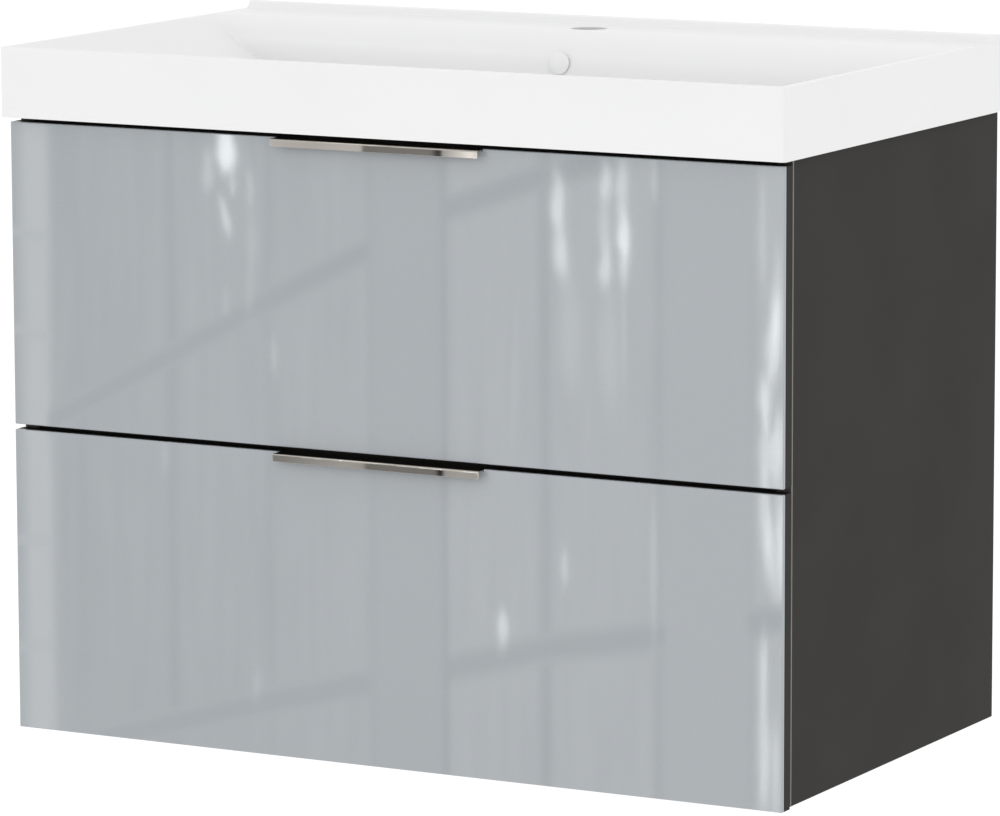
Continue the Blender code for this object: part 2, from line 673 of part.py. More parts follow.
def upper_box(drawer, low_z, high_z):
    """The bottom and the back around a cut-out for the trap, and the surround that lines the cut-out."""
    reach = BOX_INNER + GROOVE_DEPTH - GAP
    floor = low_z + BOTTOM_LIFT
    shelf = floor + BOTTOM_THICKNESS
    half = TRAP_WIDTH / 2
    trap_front = BOX_BACK - TRAP_DEPTH
    bottom = box(f"{drawer}_bottom", (-reach, BOX_FRONT, floor), (reach, BOX_BACK, shelf), BOX_BOARD)
    trap_high = (half, BOX_BACK + PAST, shelf + PAST)
    cut(bottom, box(f"{drawer}_trap_cutout", (-half, trap_front, floor - PAST), trap_high))
    pieces = [bottom]
    wall = TRAP_WALL / 2
    path = [
        (-half - wall, BOX_BACK),
        (-half - wall, trap_front - wall),
        (half + wall, trap_front - wall),
        (half + wall, BOX_BACK),
    ]
    pieces.append(folded(f"{drawer}_trap_surround", path, "Z", shelf + GAP, high_z, TRAP_WALL, HOUSING))
    for side, sign in SIDES:
        x = mirrored(sign, half + TRAP_WALL + GAP, BOX_INNER - GAP)
        low = (x[0], BOX_BACK - BOX_SIDE, shelf + GAP)
        pieces.append(box(f"{drawer}_back_{side}", low, (x[1], BOX_BACK, high_z), BOX_BOARD, BOARD_EDGE))
    return pieces


def slide(name, pieces, place):
    """The pieces that travel together, under an empty on the middle line of their travel."""
    holder = bpy.data.objects.new(name, None)
    PARTS.objects.link(holder)
    holder.location = place
    bpy.context.view_layer.update()
    for piece in pieces:
        piece.parent = holder
        piece.matrix_parent_inverse = holder.matrix_world.inverted()


def drawer(name, front_bottom, make_box):
    low_z = front_bottom + BOX_LIFT
    high_z = low_z + BOX_HEIGHT
    on_drawer, middle = runners(name, low_z)
    pieces = front(name, front_bottom) + drawer_sides(name, low_z, high_z) + make_box(name, low_z, high_z)
    slide(f"{name}_slide", pieces + on_drawer, (0, FACE_Y, low_z + RUNNER_HEIGHT))
    slide(f"{name}_middle_slide", middle, (0, -CASE_DEPTH, low_z + RUNNER_HEIGHT))


def main():
    case()
    hangers()
    washbasin()
    overflow_cap()
    drawer("upper_drawer", UPPER_FRONT, upper_box)
    drawer("lower_drawer", LOWER_FRONT, lower_box)


main()
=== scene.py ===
"""The looks of a wall-hung vanity unit: a cast washbasin over two drawers with glossy grey fronts.

Metres, in the part's own frame: the wall is the plane y = 0, the unit stands out of it towards -Y, and the
origin is the middle of the wall-side face of the upper rear rail.
"""

import json
import math

import bmesh
import bpy
import numpy as np
from mathutils import Matrix, Vector


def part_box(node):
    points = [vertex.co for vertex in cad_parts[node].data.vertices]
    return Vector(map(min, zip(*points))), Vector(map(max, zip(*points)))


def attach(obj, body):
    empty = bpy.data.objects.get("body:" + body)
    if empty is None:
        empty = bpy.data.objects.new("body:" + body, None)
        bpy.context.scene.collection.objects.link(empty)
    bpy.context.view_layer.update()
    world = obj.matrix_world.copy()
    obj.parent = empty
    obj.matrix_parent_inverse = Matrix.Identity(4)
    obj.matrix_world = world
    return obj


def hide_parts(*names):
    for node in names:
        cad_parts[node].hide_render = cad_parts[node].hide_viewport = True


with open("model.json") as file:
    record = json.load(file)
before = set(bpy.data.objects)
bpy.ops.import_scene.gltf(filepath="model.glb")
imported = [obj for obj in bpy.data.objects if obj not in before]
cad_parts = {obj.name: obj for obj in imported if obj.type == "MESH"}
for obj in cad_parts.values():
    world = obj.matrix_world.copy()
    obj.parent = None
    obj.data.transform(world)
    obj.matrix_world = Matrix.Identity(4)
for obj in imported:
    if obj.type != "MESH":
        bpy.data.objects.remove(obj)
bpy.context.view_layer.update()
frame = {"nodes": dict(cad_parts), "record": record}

# Washbasin
APRON_WALL = 0.010
CAST_WALL = 0.012
CAST_BITE = 0.004  # how far a boss or a duct reaches into the wall that it is cast on
BOWL_DEPTH = 0.090
SIDE_SLOPE = math.radians(30)
FRONT_SLOPE = math.radians(45)
REAR_SLOPE = math.radians(82)
RIM_WIDTH = 0.0075
REAR_WALL = -0.1155  # where the line of the bowl's rear wall meets the level of the rim
REAR_FOOT = 0.030
FRONT_FOOT = 0.030
SIDE_FOOT = 0.038
DECK_ROUNDING = 0.040
RIM_ROUNDING = 0.003
CREASE = 0.0012  # softness where two of the bowl's walls meet
CORNER = 0.004  # of the basin, seen from above
RIM_EDGE = 0.0016
SPLASH_HEIGHT = 0.0065
SPLASH_DEPTH = 0.020
SPLASH_CORNER = 0.011
SPLASH_COVE = 0.007
TAP_RADIUS = 0.0175
TAP_Y = -0.0595
DRAIN_RADIUS = 0.023
DRAIN_SEAT_RADIUS = 0.0325
DRAIN_Y = -0.2225
DRAIN_BOSS_RADIUS = 0.037
DRAIN_BOSS = 0.118
BOSS_EDGE = 0.002
OVERFLOW_DROP = 0.0280
OVERFLOW_RADIUS = 0.007
DUCT_HALF = 0.018
DUCT_WALL = 0.005
DUCT_SKIN = 0.001
DUCT_BACK = 0.0225
DUCT_ROOF = 0.1035
DUCT_FOOT = 0.111

BASIN_LOW, BASIN_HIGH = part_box("washbasin")
RIM_Z = BASIN_HIGH.z - SPLASH_HEIGHT
APRON_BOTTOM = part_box("side_panel_left")[1].z + 0.0003
HALF_WIDTH = BASIN_HIGH.x

# Handles
HANDLE_FACE = 0.0072  # height of the strip's visible face
HANDLE_SHEET = 0.0015
HANDLE_BEND = 0.0008
HANDLE_FLAT_OVER = 0.0002  # faces over this many square metres are shaded flat

# Case, runners and fittings
TRIMMED_EDGE = 0.0009  # width of the side panels' broken edges
RUNNER_SHEET = 0.0012
RUNNER_BEND = 0.0022
BRACKET_SHEET = 0.0015
BALLS = 9  # in a row
BALL_PITCH = 0.021
CAGE_INSET = 0.012  # from a runner's end to the first ball
CAGE_END = 0.006  # length of the cage past its first and last ball
CAGE_HALF = (0.0004, 0.0007)  # half its thickness and half its width
CAM_INSET = 0.034  # from a board's end to its cam covers
# Edge roundings of the nodes that keep their CAD mesh: (width, segments)
EDGES = {"front_face": (0.0007, 3), "front_board": (0.0004, 2), "trap_surround": (0.0008, 3)}
PLAIN_EDGE = (0.0003, 1)

BODY_OF = {node: body for body, nodes in frame["record"]["behaviour"]["bodies"].items() for node in nodes}
SLOT_OF = {row["node"]: row["material_slot"] for row in frame["record"]["subparts"]}
SIDES = (("left", -1), ("right", 1))
DRAWERS = ("upper_drawer", "lower_drawer")


# --- Shaders ---


class Look:
    """A material whose node tree is built by short calls. Every pattern lies in the piece's own metres."""

    def __init__(self, name, **constants):
        self.material = bpy.data.materials.new(name)
        self.material.use_nodes = True
        self.tree = self.material.node_tree
        self.surface = self.tree.nodes["Principled BSDF"]
        self.place = self.node("TexCoord").outputs["Object"]
        for key, value in constants.items():
            socket = key.replace("_", " ").title().replace("Ior", "IOR")
            self.surface.inputs[socket].default_value = value

    def node(self, kind, inputs=(), **settings):
        made = self.tree.nodes.new("ShaderNode" + kind)
        for name, value in settings.items():
            setattr(made, name, value)
        for name, value in dict(inputs).items():
            self.feed(made.inputs[name], value)
        return made

    def feed(self, socket, value):
        if isinstance(value, bpy.types.NodeSocket):
            self.tree.links.new(value, socket)
        else:
            socket.default_value = value

    def show(self, shader):
        self.feed(self.tree.nodes["Material Output"].inputs["Surface"], shader.outputs[0])

    def noise(self, scale, detail=2.0, roughness=0.5, stretch=(1, 1, 1)):
        place = self.node("Mapping", {"Vector": self.place, "Scale": stretch}).outputs["Vector"]
        inputs = {"Vector": place, "Scale": scale, "Detail": detail, "Roughness": roughness}
        return self.node("TexNoise", inputs).outputs["Fac"]

    def cells(self, scale, output="Distance"):
        return self.node("TexVoronoi", {"Vector": self.place, "Scale": scale}).outputs[output]

    def waves(self, scale, direction, distortion):
        inputs = {"Vector": self.place, "Scale": scale, "Distortion": distortion, "Detail": 1.0}
        return self.node("TexWave", inputs, bands_direction=direction).outputs["Fac"]

    def ramp(self, factor, *stops):
        made = self.node("ValToRGB", {"Fac": factor})
        bar = made.color_ramp
        while len(bar.elements) < len(stops):
            bar.elements.new(0.5)
        for element, (position, colour) in zip(bar.elements, stops):
            element.position = position
            element.color = (*colour, 1) if isinstance(colour, tuple) else (colour, colour, colour, 1)
        return made.outputs["Color"]

    def math(self, operation, first, second):
        return self.node("Math", {0: first, 1: second}, operation=operation).outputs[0]

    def vector(self, operation, first, second):
        return self.node("VectorMath", {0: first, 1: second}, operation=operation).outputs[0]

    def mix(self, factor, first, second, blend="MIX"):
        made = self.node("Mix", {0: factor}, data_type="RGBA", blend_type=blend)
        self.feed(made.inputs[6], first)
        self.feed(made.inputs[7], second)
        return made.outputs[2]

    def span(self, factor, low, high):
        inputs = {"Value": factor, "To Min": low, "To Max": high}
        return self.node("MapRange", inputs).outputs["Result"]

    def colour(self, value):
        self.feed(self.surface.inputs["Base Color"], value)

    def roughness(self, factor, low, high):
        self.feed(self.surface.inputs["Roughness"], self.span(factor, low, high))

    def relief(self, *layers):
        """Bumps of (height, depth in metres), one on the other."""
        normal = None
        for height, depth in layers:
            inputs = {"Height": height, "Distance": depth, "Strength": 1.0}
            if normal:
                inputs["Normal"] = normal
            normal = self.node("Bump", inputs).outputs["Normal"]
        self.feed(self.surface.inputs["Normal"], normal)


def grey(level):
    return (level, level, level)


def gel_coat():
    look = Look("white_gel_coat", ior=1.5, specular_ior_level=0.4)
    cloud = look.noise(7, 3)
    look.colour(look.ramp(cloud, (0.3, (0.753, 0.755, 0.754)), (0.7, (0.765, 0.767, 0.766))))
    look.roughness(look.noise(60, 4), 0.26, 0.34)
    look.relief((look.noise(18, 1), 0.00005), (look.noise(420, 2), 0.000004))
    return look.material


def raw_cast():
    look = Look("white_cast_underside", ior=1.5)
    grains = look.noise(900, 5, 0.7)
    look.colour(look.ramp(look.noise(35, 4), (0.3, (0.66, 0.66, 0.65)), (0.75, (0.78, 0.78, 0.77))))
    look.roughness(grains, 0.5, 0.75)
    look.relief((look.noise(45, 3), 0.0004), (grains, 0.00015), (look.cells(260), 0.0002))
    return look.material


def acrylic_face():
    look = Look("grey_acrylic_face", ior=1.49, specular_ior_level=0.45)
    flakes = look.ramp(look.cells(2600, "Color"), (0.0, grey(0.0)), (1.0, grey(1.0)))
    cloud = look.noise(5, 2)
    base = look.ramp(cloud, (0.3, (0.347, 0.370, 0.390)), (0.7, (0.353, 0.376, 0.396)))
    look.colour(look.mix(0.05, base, flakes, "OVERLAY"))
    look.roughness(look.noise(30, 3), 0.035, 0.055)
    waviness = look.noise(7, 1.5, 0.5, (1, 1, 0.22))
    look.relief((waviness, 0.00003), (look.noise(900, 2), 0.0000002))
    return look.material


def melamine(name, dark, light):
    look = Look(name, ior=1.45, specular_ior_level=0.1)
    cloud = look.noise(9, 4)
    speckle = look.noise(1900, 3, 0.7)
    base = look.ramp(cloud, (0.3, dark), (0.7, light))
    look.colour(look.mix(0.35, base, look.ramp(speckle, (0.35, grey(0.25)), (0.65, grey(0.75))), "OVERLAY"))
    look.roughness(speckle, 0.50, 0.66)
    look.relief((look.noise(1300, 2, 0.6), 0.00005), (look.cells(650), 0.00003))
    return look.material


def edge_band(name, colour, shine=(0.42, 0.52)):
    look = Look(name, ior=1.5, specular_ior_level=0.4)
    streaks = look.noise(700, 3, 0.6, (1, 1, 0.06))
    darker = tuple(c * 0.9 for c in colour)
    look.colour(look.ramp(streaks, (0.3, darker), (0.7, colour)))
    look.roughness(look.noise(300, 3), *shine)
    look.relief((look.noise(1100, 2), 0.00003))
    return look.material


def chipboard():
    look = Look("chipboard_core", ior=1.45, specular_ior_level=0.3)
    chips = look.cells(420, "Color")
    wood = look.ramp(chips, (0.1, (0.16, 0.095, 0.045)), (0.5, (0.36, 0.25, 0.14)), (0.9, (0.52, 0.40, 0.25)))
    dust = look.ramp(look.noise(1500, 4), (0.3, grey(0.2)), (0.7, grey(0.8)))
    look.colour(look.mix(0.25, wood, dust, "OVERLAY"))
    look.roughness(look.noise(800, 3), 0.75, 0.92)
    look.relief((look.cells(420), 0.0003), (look.noise(2200, 3), 0.0001))
    return look.material


def drawer_board():
    look = Look("woven_drawer_board", ior=1.45, specular_ior_level=0.35)
    weave = look.math("MULTIPLY", look.waves(330, "Y", 1.5), look.waves(330, "Z", 1.5))
    threads = look.noise(260, 3, 0.6, (1, 1, 9))
    base = look.ramp(look.mix(0.5, threads, weave), (0.15, (0.235, 0.245, 0.25)), (0.8, (0.36, 0.37, 0.375)))
    look.colour(base)
    look.roughness(threads, 0.48, 0.62)
    look.relief((weave, 0.00004), (look.noise(1200, 2), 0.00002))
    return look.material


def zinc():
    look = Look("bright_zinc_steel", metallic=1.0)
    cloud = look.noise(22, 4, 0.6)
    scuffs = look.noise(260, 4, 0.7, (1, 0.05, 1))
    base = look.ramp(cloud, (0.25, (0.50, 0.52, 0.55)), (0.55, (0.60, 0.61, 0.61)), (0.8, (0.62, 0.60, 0.54)))
    look.colour(look.mix(0.25, base, look.ramp(scuffs, (0.4, grey(0.35)), (0.6, grey(0.65))), "OVERLAY"))
    look.roughness(scuffs, 0.24, 0.42)
    look.relief((look.noise(700, 3), 0.00002), (scuffs, 0.00002))
    return look.material


def brushed_nickel():
    look = Look("brushed_nickel", metallic=1.0)
    strokes = look.noise(1400, 3, 0.6, (0.02, 1, 1))
    look.colour(look.ramp(strokes, (0.25, (0.440, 0.413, 0.378)), (0.75, (0.495, 0.467, 0.429))))
    look.roughness(strokes, 0.020, 0.035)
    look.relief((look.noise(30, 1), 0.000002))
    return look.material


def white_plastic():
    look = Look("white_glossy_plastic", ior=1.5)
    look.colour(look.ramp(look.noise(90, 3), (0.3, (0.775, 0.780, 0.778)), (0.7, (0.795, 0.800, 0.798))))
    look.roughness(look.noise(500, 3), 0.12, 0.20)
    look.relief((look.noise(900, 2), 0.000003))
    return look.material


def grey_plastic():
    look = Look("moulded_grey_plastic", ior=1.5)
    sparks = look.noise(1500, 3, 0.7)
    look.colour(look.ramp(look.noise(12, 3), (0.3, (0.215, 0.220, 0.226)), (0.7, (0.245, 0.250, 0.256))))
    look.roughness(sparks, 0.42, 0.6)
    look.relief((sparks, 0.00006))
    return look.material


def clear_rubber():
    look = Look("clear_rubber", ior=1.45, transmission_weight=0.55)
    look.colour(look.ramp(look.noise(300, 2), (0.3, grey(0.80)), (0.7, grey(0.88))))
    look.roughness(look.noise(900, 2), 0.12, 0.25)
    return look.material


GEL_COAT = gel_coat()
RAW_CAST = raw_cast()
ACRYLIC = acrylic_face()
ANTHRACITE = melamine("anthracite_melamine", (0.0255, 0.0243, 0.0227), (0.0300, 0.0286, 0.0268))
BAND = edge_band("anthracite_edge_band", (0.036, 0.035, 0.034))
# Lighter tone for the side panels' front rounding: partly a trimmed band's pale line, partly a painted
# highlight
TRIMMED_BAND_HIGHLIGHT = edge_band("trimmed_edge_band", (0.24, 0.23, 0.21), (0.3, 0.4))
CHIPS = chipboard()
WOVEN = drawer_board()
ZINC = zinc()
NICKEL = brushed_nickel()
CAP = white_plastic()
PLASTIC = grey_plastic()
RUBBER = clear_rubber()
LOOK_OF_SLOT = {
    "anthracite_board": ANTHRACITE,
    "grey_gloss_face": ACRYLIC,
    "white_cast": GEL_COAT,
    "brushed_nickel": NICKEL,
    "white_plastic": CAP,
    "grey_plastic": PLASTIC,
    "zinc_steel": ZINC,
    "drawer_board": WOVEN,
    "clear_rubber": RUBBER,
}


# --- Mesh tools ---


def link(name, data, *looks):
    made = bpy.data.objects.new(name, data)
    bpy.context.scene.collection.objects.link(made)
    for look in looks:
        data.materials.append(look)
    return made


def from_bmesh(name, shape, *looks):
    mesh = bpy.data.meshes.new(name)
    shape.to_mesh(mesh)
    shape.free()
    return link(name, mesh, *looks)


def smooth(piece, angle, flat_over=None):
    """Smooth shading weighted by area, or else smooth shading that leaves out the faces over an area."""
    piece.data.shade_smooth()
    piece.data.set_sharp_from_angle(angle=math.radians(angle))
    if flat_over:
        for face in piece.data.polygons:
            face.use_smooth = face.area < flat_over
        return
    weighted = piece.modifiers.new("weighted", "WEIGHTED_NORMAL")
    weighted.keep_sharp = True
    weighted.weight = 100


def apply(piece):
    """Turns a piece's modifiers into its mesh."""
    ready = piece.evaluated_get(bpy.context.evaluated_depsgraph_get())
    mesh = bpy.data.meshes.new_from_object(ready)
    mesh.name = piece.name
    piece.modifiers.clear()
    piece.data = mesh


def stand_for(piece, node):
    """The piece rides on the node's body and is shown in its place."""
    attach(piece, BODY_OF[node])
    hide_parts(node)


def add_block(shape, low, high):
    low, high = Vector(low), Vector(high)
    corners = bmesh.ops.create_cube(shape, size=1)["verts"]
    fit = Matrix.Translation((low + high) / 2) @ Matrix.Diagonal((*(high - low), 1))
    bmesh.ops.transform(shape, matrix=fit, verts=corners)


def block(name, low, high):
    shape = bmesh.new()
    add_block(shape, low, high)
    return from_bmesh(name, shape)


def turned(name, profile, steps):
    """A turned solid about +Z. Its profile points (radius, height) run from the axis to the axis."""
    shape = bmesh.new()
    ring = [shape.verts.new((radius, 0, height)) for radius, height in profile]
    edges = [shape.edges.new(pair) for pair in zip(ring, ring[1:])]
    spin = {"cent": (0, 0, 0), "axis": (0, 0, 1), "angle": math.tau, "steps": steps, "use_merge": True}
    bmesh.ops.spin(shape, geom=ring + edges, **spin)
    bmesh.ops.remove_doubles(shape, verts=shape.verts, dist=1e-7)
    bmesh.ops.recalc_face_normals(shape, faces=shape.faces)
    return from_bmesh(name, shape)


def prism(name, outline, axis, start, end):
    """A solid from start to end along one axis, with its outline in the other two."""
    index = "XYZ".index(axis)
    shape = bmesh.new()
    ends = []
    for level in (start, end):
        corners = []
        for point in outline:
            place = list(point)
            place.insert(index, level)
            corners.append(shape.verts.new(place))
        ends.append(corners)
        shape.faces.new(corners)
    for i in range(len(outline)):
        shape.faces.new((ends[0][i - 1], ends[0][i], ends[1][i], ends[1][i - 1]))
    bmesh.ops.recalc_face_normals(shape, faces=shape.faces)
    return from_bmesh(name, shape)


def rounded(corners, segments=8):
    """An outline whose corners (u, v, radius) are arcs. A radius of 0 leaves the corner sharp."""
    points = []
    count = len(corners)
    for i, (u, v, radius) in enumerate(corners):
        corner = Vector((u, v))
        if not radius:
            points.append((u, v))
            continue
        before = (Vector(corners[i - 1][:2]) - corner).normalized()
        after = (Vector(corners[(i + 1) % count][:2]) - corner).normalized()
        half = before.angle(after) / 2
        centre = corner + (before + after).normalized() * radius / math.sin(half)
        first = corner + before * radius / math.tan(half) - centre
        turn = math.copysign(math.pi - 2 * half, first.cross(corner - centre))
        for step in range(segments + 1):
            spoke = Matrix.Rotation(turn * step / segments, 2) @ first
            points.append(tuple(centre + spoke))
    return points


def sheet_outline(path, thickness):
    """The closed outline of a sheet whose middle line is the open path."""
    points = [Vector(point) for point in path]
    normals = []
    for i in range(len(points)):
        ahead = (points[min(i + 1, len(points) - 1)] - points[i]).normalized()
        behind = (points[i] - points[max(i - 1, 0)]).normalized()
        ahead = ahead if ahead.length else behind
        behind = behind if behind.length else ahead
        across = Vector((-(ahead + behind).y, (ahead + behind).x)).normalized()
        normals.append(across / max(across.dot(Vector((-ahead.y, ahead.x))), 0.2))
    half = thickness / 2
    upper = [tuple(point + normal * half) for point, normal in zip(points, normals)]
    lower = [tuple(point - normal * half) for point, normal in zip(points, normals)]
    return upper + lower[::-1]


def loose_mesh(piece, look, angle):
    """A piece's mesh, finished for use in many copies. The piece itself goes."""
    mesh = piece.data
    mesh.materials.append(look)
    mesh.shade_smooth()
    mesh.set_sharp_from_angle(angle=math.radians(angle))
    bpy.data.objects.remove(piece)
    return mesh


def put(name, mesh, body, place, facing, twist=0.0):
    """A copy of a mesh at a place, its +Z turned to face a direction and itself twisted about it."""
    piece = link(name, mesh)
    turn = Vector(facing).to_track_quat("Z", "Y").to_matrix().to_4x4()
    piece.matrix_world = Matrix.Translation(place) @ turn @ Matrix.Rotation(twist, 4, "Z")
    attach(piece, body)


def boolean(piece, other, operation):
    step = piece.modifiers.new(other.name, "BOOLEAN")
    step.operation = operation
    step.solver = "EXACT"
    step.object = other


def bevel(piece, width, segments, angle=40):
    edges = piece.modifiers.new("edges", "BEVEL")
    edges.width = width
    edges.segments = segments
    edges.limit_method = "ANGLE"
    edges.angle_limit = math.radians(angle)
    edges.use_clamp_overlap = False


# --- Washbasin ---


def valley(run, slope, radius):
    """Height above a floor that turns up into a slope at run 0, through an arc."""
    start = -radius * math.tan(slope / 2)
    along = np.clip(run - start, 0, radius * math.sin(slope))
    arc = radius - np.sqrt(radius**2 - along**2)
    return np.where(run - start > radius * math.sin(slope), run * math.tan(slope), arc)


def basin_level(x, y, wall=0.0):
    """Height of the bowl and its deck at (x, y), or of the surface a wall's thickness under them."""

    def rise(run, slope, foot, head):
        run = run + wall * math.tan(slope / 2)
        reach = BOWL_DEPTH / math.tan(slope)
        from_head = BOWL_DEPTH - valley(run, slope, max(head - wall, 0.0005))
        from_foot = valley(reach - run, slope, foot + wall)
        return np.where(run < reach / 2, from_head, from_foot)

    side = rise(HALF_WIDTH - RIM_WIDTH - np.abs(x), SIDE_SLOPE, SIDE_FOOT, RIM_ROUNDING)
    front = rise(y - BASIN_LOW.y - RIM_WIDTH, FRONT_SLOPE, FRONT_FOOT, RIM_ROUNDING)
    rear = rise(REAR_WALL - y, REAR_SLOPE, REAR_FOOT, DECK_ROUNDING)
    across = np.maximum(front, rear)
    nearness = np.maximum(CREASE - np.abs(side - across), 0) / CREASE
    height = np.maximum(side, across) + nearness**2 * CREASE / 4
    return RIM_Z - wall - BOWL_DEPTH + np.minimum(height, BOWL_DEPTH)


def inside_rectangle(x, y, corner):
    """Distance inwards from the basin's outline, whose corners are round."""
    middle_y = (BASIN_LOW.y + BASIN_HIGH.y) / 2
    over_x = np.abs(x) - HALF_WIDTH + corner
    over_y = np.abs(y - middle_y) - (BASIN_HIGH.y - BASIN_LOW.y) / 2 + corner
    outside = np.hypot(np.maximum(over_x, 0), np.maximum(over_y, 0))
    return corner - outside - np.minimum(np.maximum(over_x, over_y), 0)


def basin_top(x, y):
    """The washbasin's whole upper surface: bowl, deck, splash lip and rounded rim."""
    lip_front = BASIN_HIGH.y - SPLASH_DEPTH
    beyond = np.maximum(np.abs(x) - (HALF_WIDTH - SPLASH_CORNER), 0)
    corner_y = lip_front + SPLASH_CORNER - np.sqrt(np.maximum(SPLASH_CORNER**2 - beyond**2, 0))
    share = np.clip((y - corner_y) / SPLASH_COVE + 0.5, 0, 1)
    lip = SPLASH_HEIGHT * share * share * (3 - 2 * share)
    inward = np.clip(inside_rectangle(x, y, CORNER), 0, RIM_EDGE)
    drop = RIM_EDGE - np.sqrt(RIM_EDGE**2 - (RIM_EDGE - inward) ** 2)
    return basin_level(x, y) + lip - drop


def spaced(*stops):
    """Grid lines through (place, spacing up to the next place) stops; the last stop has no spacing."""
    lines = []
    for (start, spacing), (end, _) in zip(stops, stops[1:]):
        count = max(1, round((end - start) / spacing))
        lines += [start + (end - start) * i / count for i in range(count)]
    return np.array([*lines, stops[-1][0]])


def relief_solid(name, xs, ys, surface, lid):
    """A closed solid between a curved underside and a flat lid."""
    columns, rows = len(xs), len(ys)
    grid_x, grid_y = np.meshgrid(xs, ys)
    under = np.stack([grid_x, grid_y, surface(grid_x, grid_y)], -1).reshape(-1, 3)
    index = np.arange(columns * rows).reshape(rows, columns)
    quads = np.stack([index[:-1, :-1], index[1:, :-1], index[1:, 1:], index[:-1, 1:]], -1).reshape(-1, 4)
    border = [*index[0, :-1], *index[:-1, -1], *index[-1, :0:-1], *index[:0:-1, 0]]
    over = under[border].copy()
    over[:, 2] = lid
    first = len(under)
    count = len(border)
    faces = quads.tolist()
    faces += [(border[i - 1], border[i], first + i, first + (i - 1) % count) for i in range(count)]
    faces.append(list(range(first, first + count)))
    mesh = bpy.data.meshes.new(name)
    mesh.from_pydata(np.vstack([under, over]).tolist(), [], faces)
    return link(name, mesh)


def basin_air():
    """The space over the washbasin, which cuts its top out of a plain block."""
    half = spaced(
        (0.0, 0.010),
        (0.190, 0.0016),
        (0.388, 0.0010),
        (0.4005, 0.0004),
        (HALF_WIDTH, 0.003),
        (0.409, 0),
    )
    columns = np.concatenate([-half[:0:-1], half])
    front = BASIN_LOW.y
    back = BASIN_HIGH.y
    rows = spaced(
        (front - 0.004, 0.004),
        (front, 0.0003),
        (front + 0.0024, 0.0010),
        (front + 0.018, 0.0025),
        (front + 0.110, 0.010),
        (-0.162, 0.0015),
        (-0.1305, 0.00035),
        (-0.1130, 0.0010),
        (-0.0800, 0.0060),
        (-0.0290, 0.0004),
        (-0.0175, 0.0020),
        (back - 0.0024, 0.0003),
        (back, 0.004),
        (back + 0.004, 0),
    )
    return relief_solid("basin_air", columns, rows, basin_top, RIM_Z + 0.030)


def basin_shell():
    """The body around the bowl, a wall's thickness under it."""
    edge = HALF_WIDTH - APRON_WALL / 2
    xs = spaced((-edge, 0.006), (edge, 0))
    rows = ((BASIN_LOW.y + APRON_WALL / 2, 0.006), (-0.145, 0.0008), (-0.100, 0.0015), (-0.070, 0.006))
    ys = spaced(*rows, (BASIN_HIGH.y - APRON_WALL / 2, 0))
    return relief_solid("basin_shell", xs, ys, lambda x, y: basin_level(x, y, CAST_WALL), RIM_Z - CAST_BITE)


def flared_hole(name, radius, edge, top, foot):
    """A cutter for a round hole whose upper edge is rounded over."""
    profile = [(0, foot), (radius, foot)]
    for step in range(7):
        turn = math.pi / 2 * step / 6
        profile.append((radius + edge * (1 - math.cos(turn)), top - edge + edge * math.sin(turn)))
    profile += [(radius + edge, top + 0.010), (0, top + 0.010)]
    return turned(name, profile, 96)


def duct(name, wall, bite):
    """The flat overflow duct, down behind the bowl's rear wall and forward under its floor to the drain."""
    front = REAR_WALL + CAST_WALL + DUCT_SKIN - bite
    back = REAR_WALL + DUCT_BACK + wall
    top = RIM_Z - OVERFLOW_DROP + OVERFLOW_RADIUS + DUCT_SKIN + wall
    roof = RIM_Z - DUCT_ROOF + bite
    foot = RIM_Z - DUCT_FOOT - wall
    outline = [(front, top), (back, top), (back, foot), (DRAIN_Y, foot), (DRAIN_Y, roof), (front, roof)]
    return prism(name, outline, "X", -DUCT_HALF - wall, DUCT_HALF + wall)


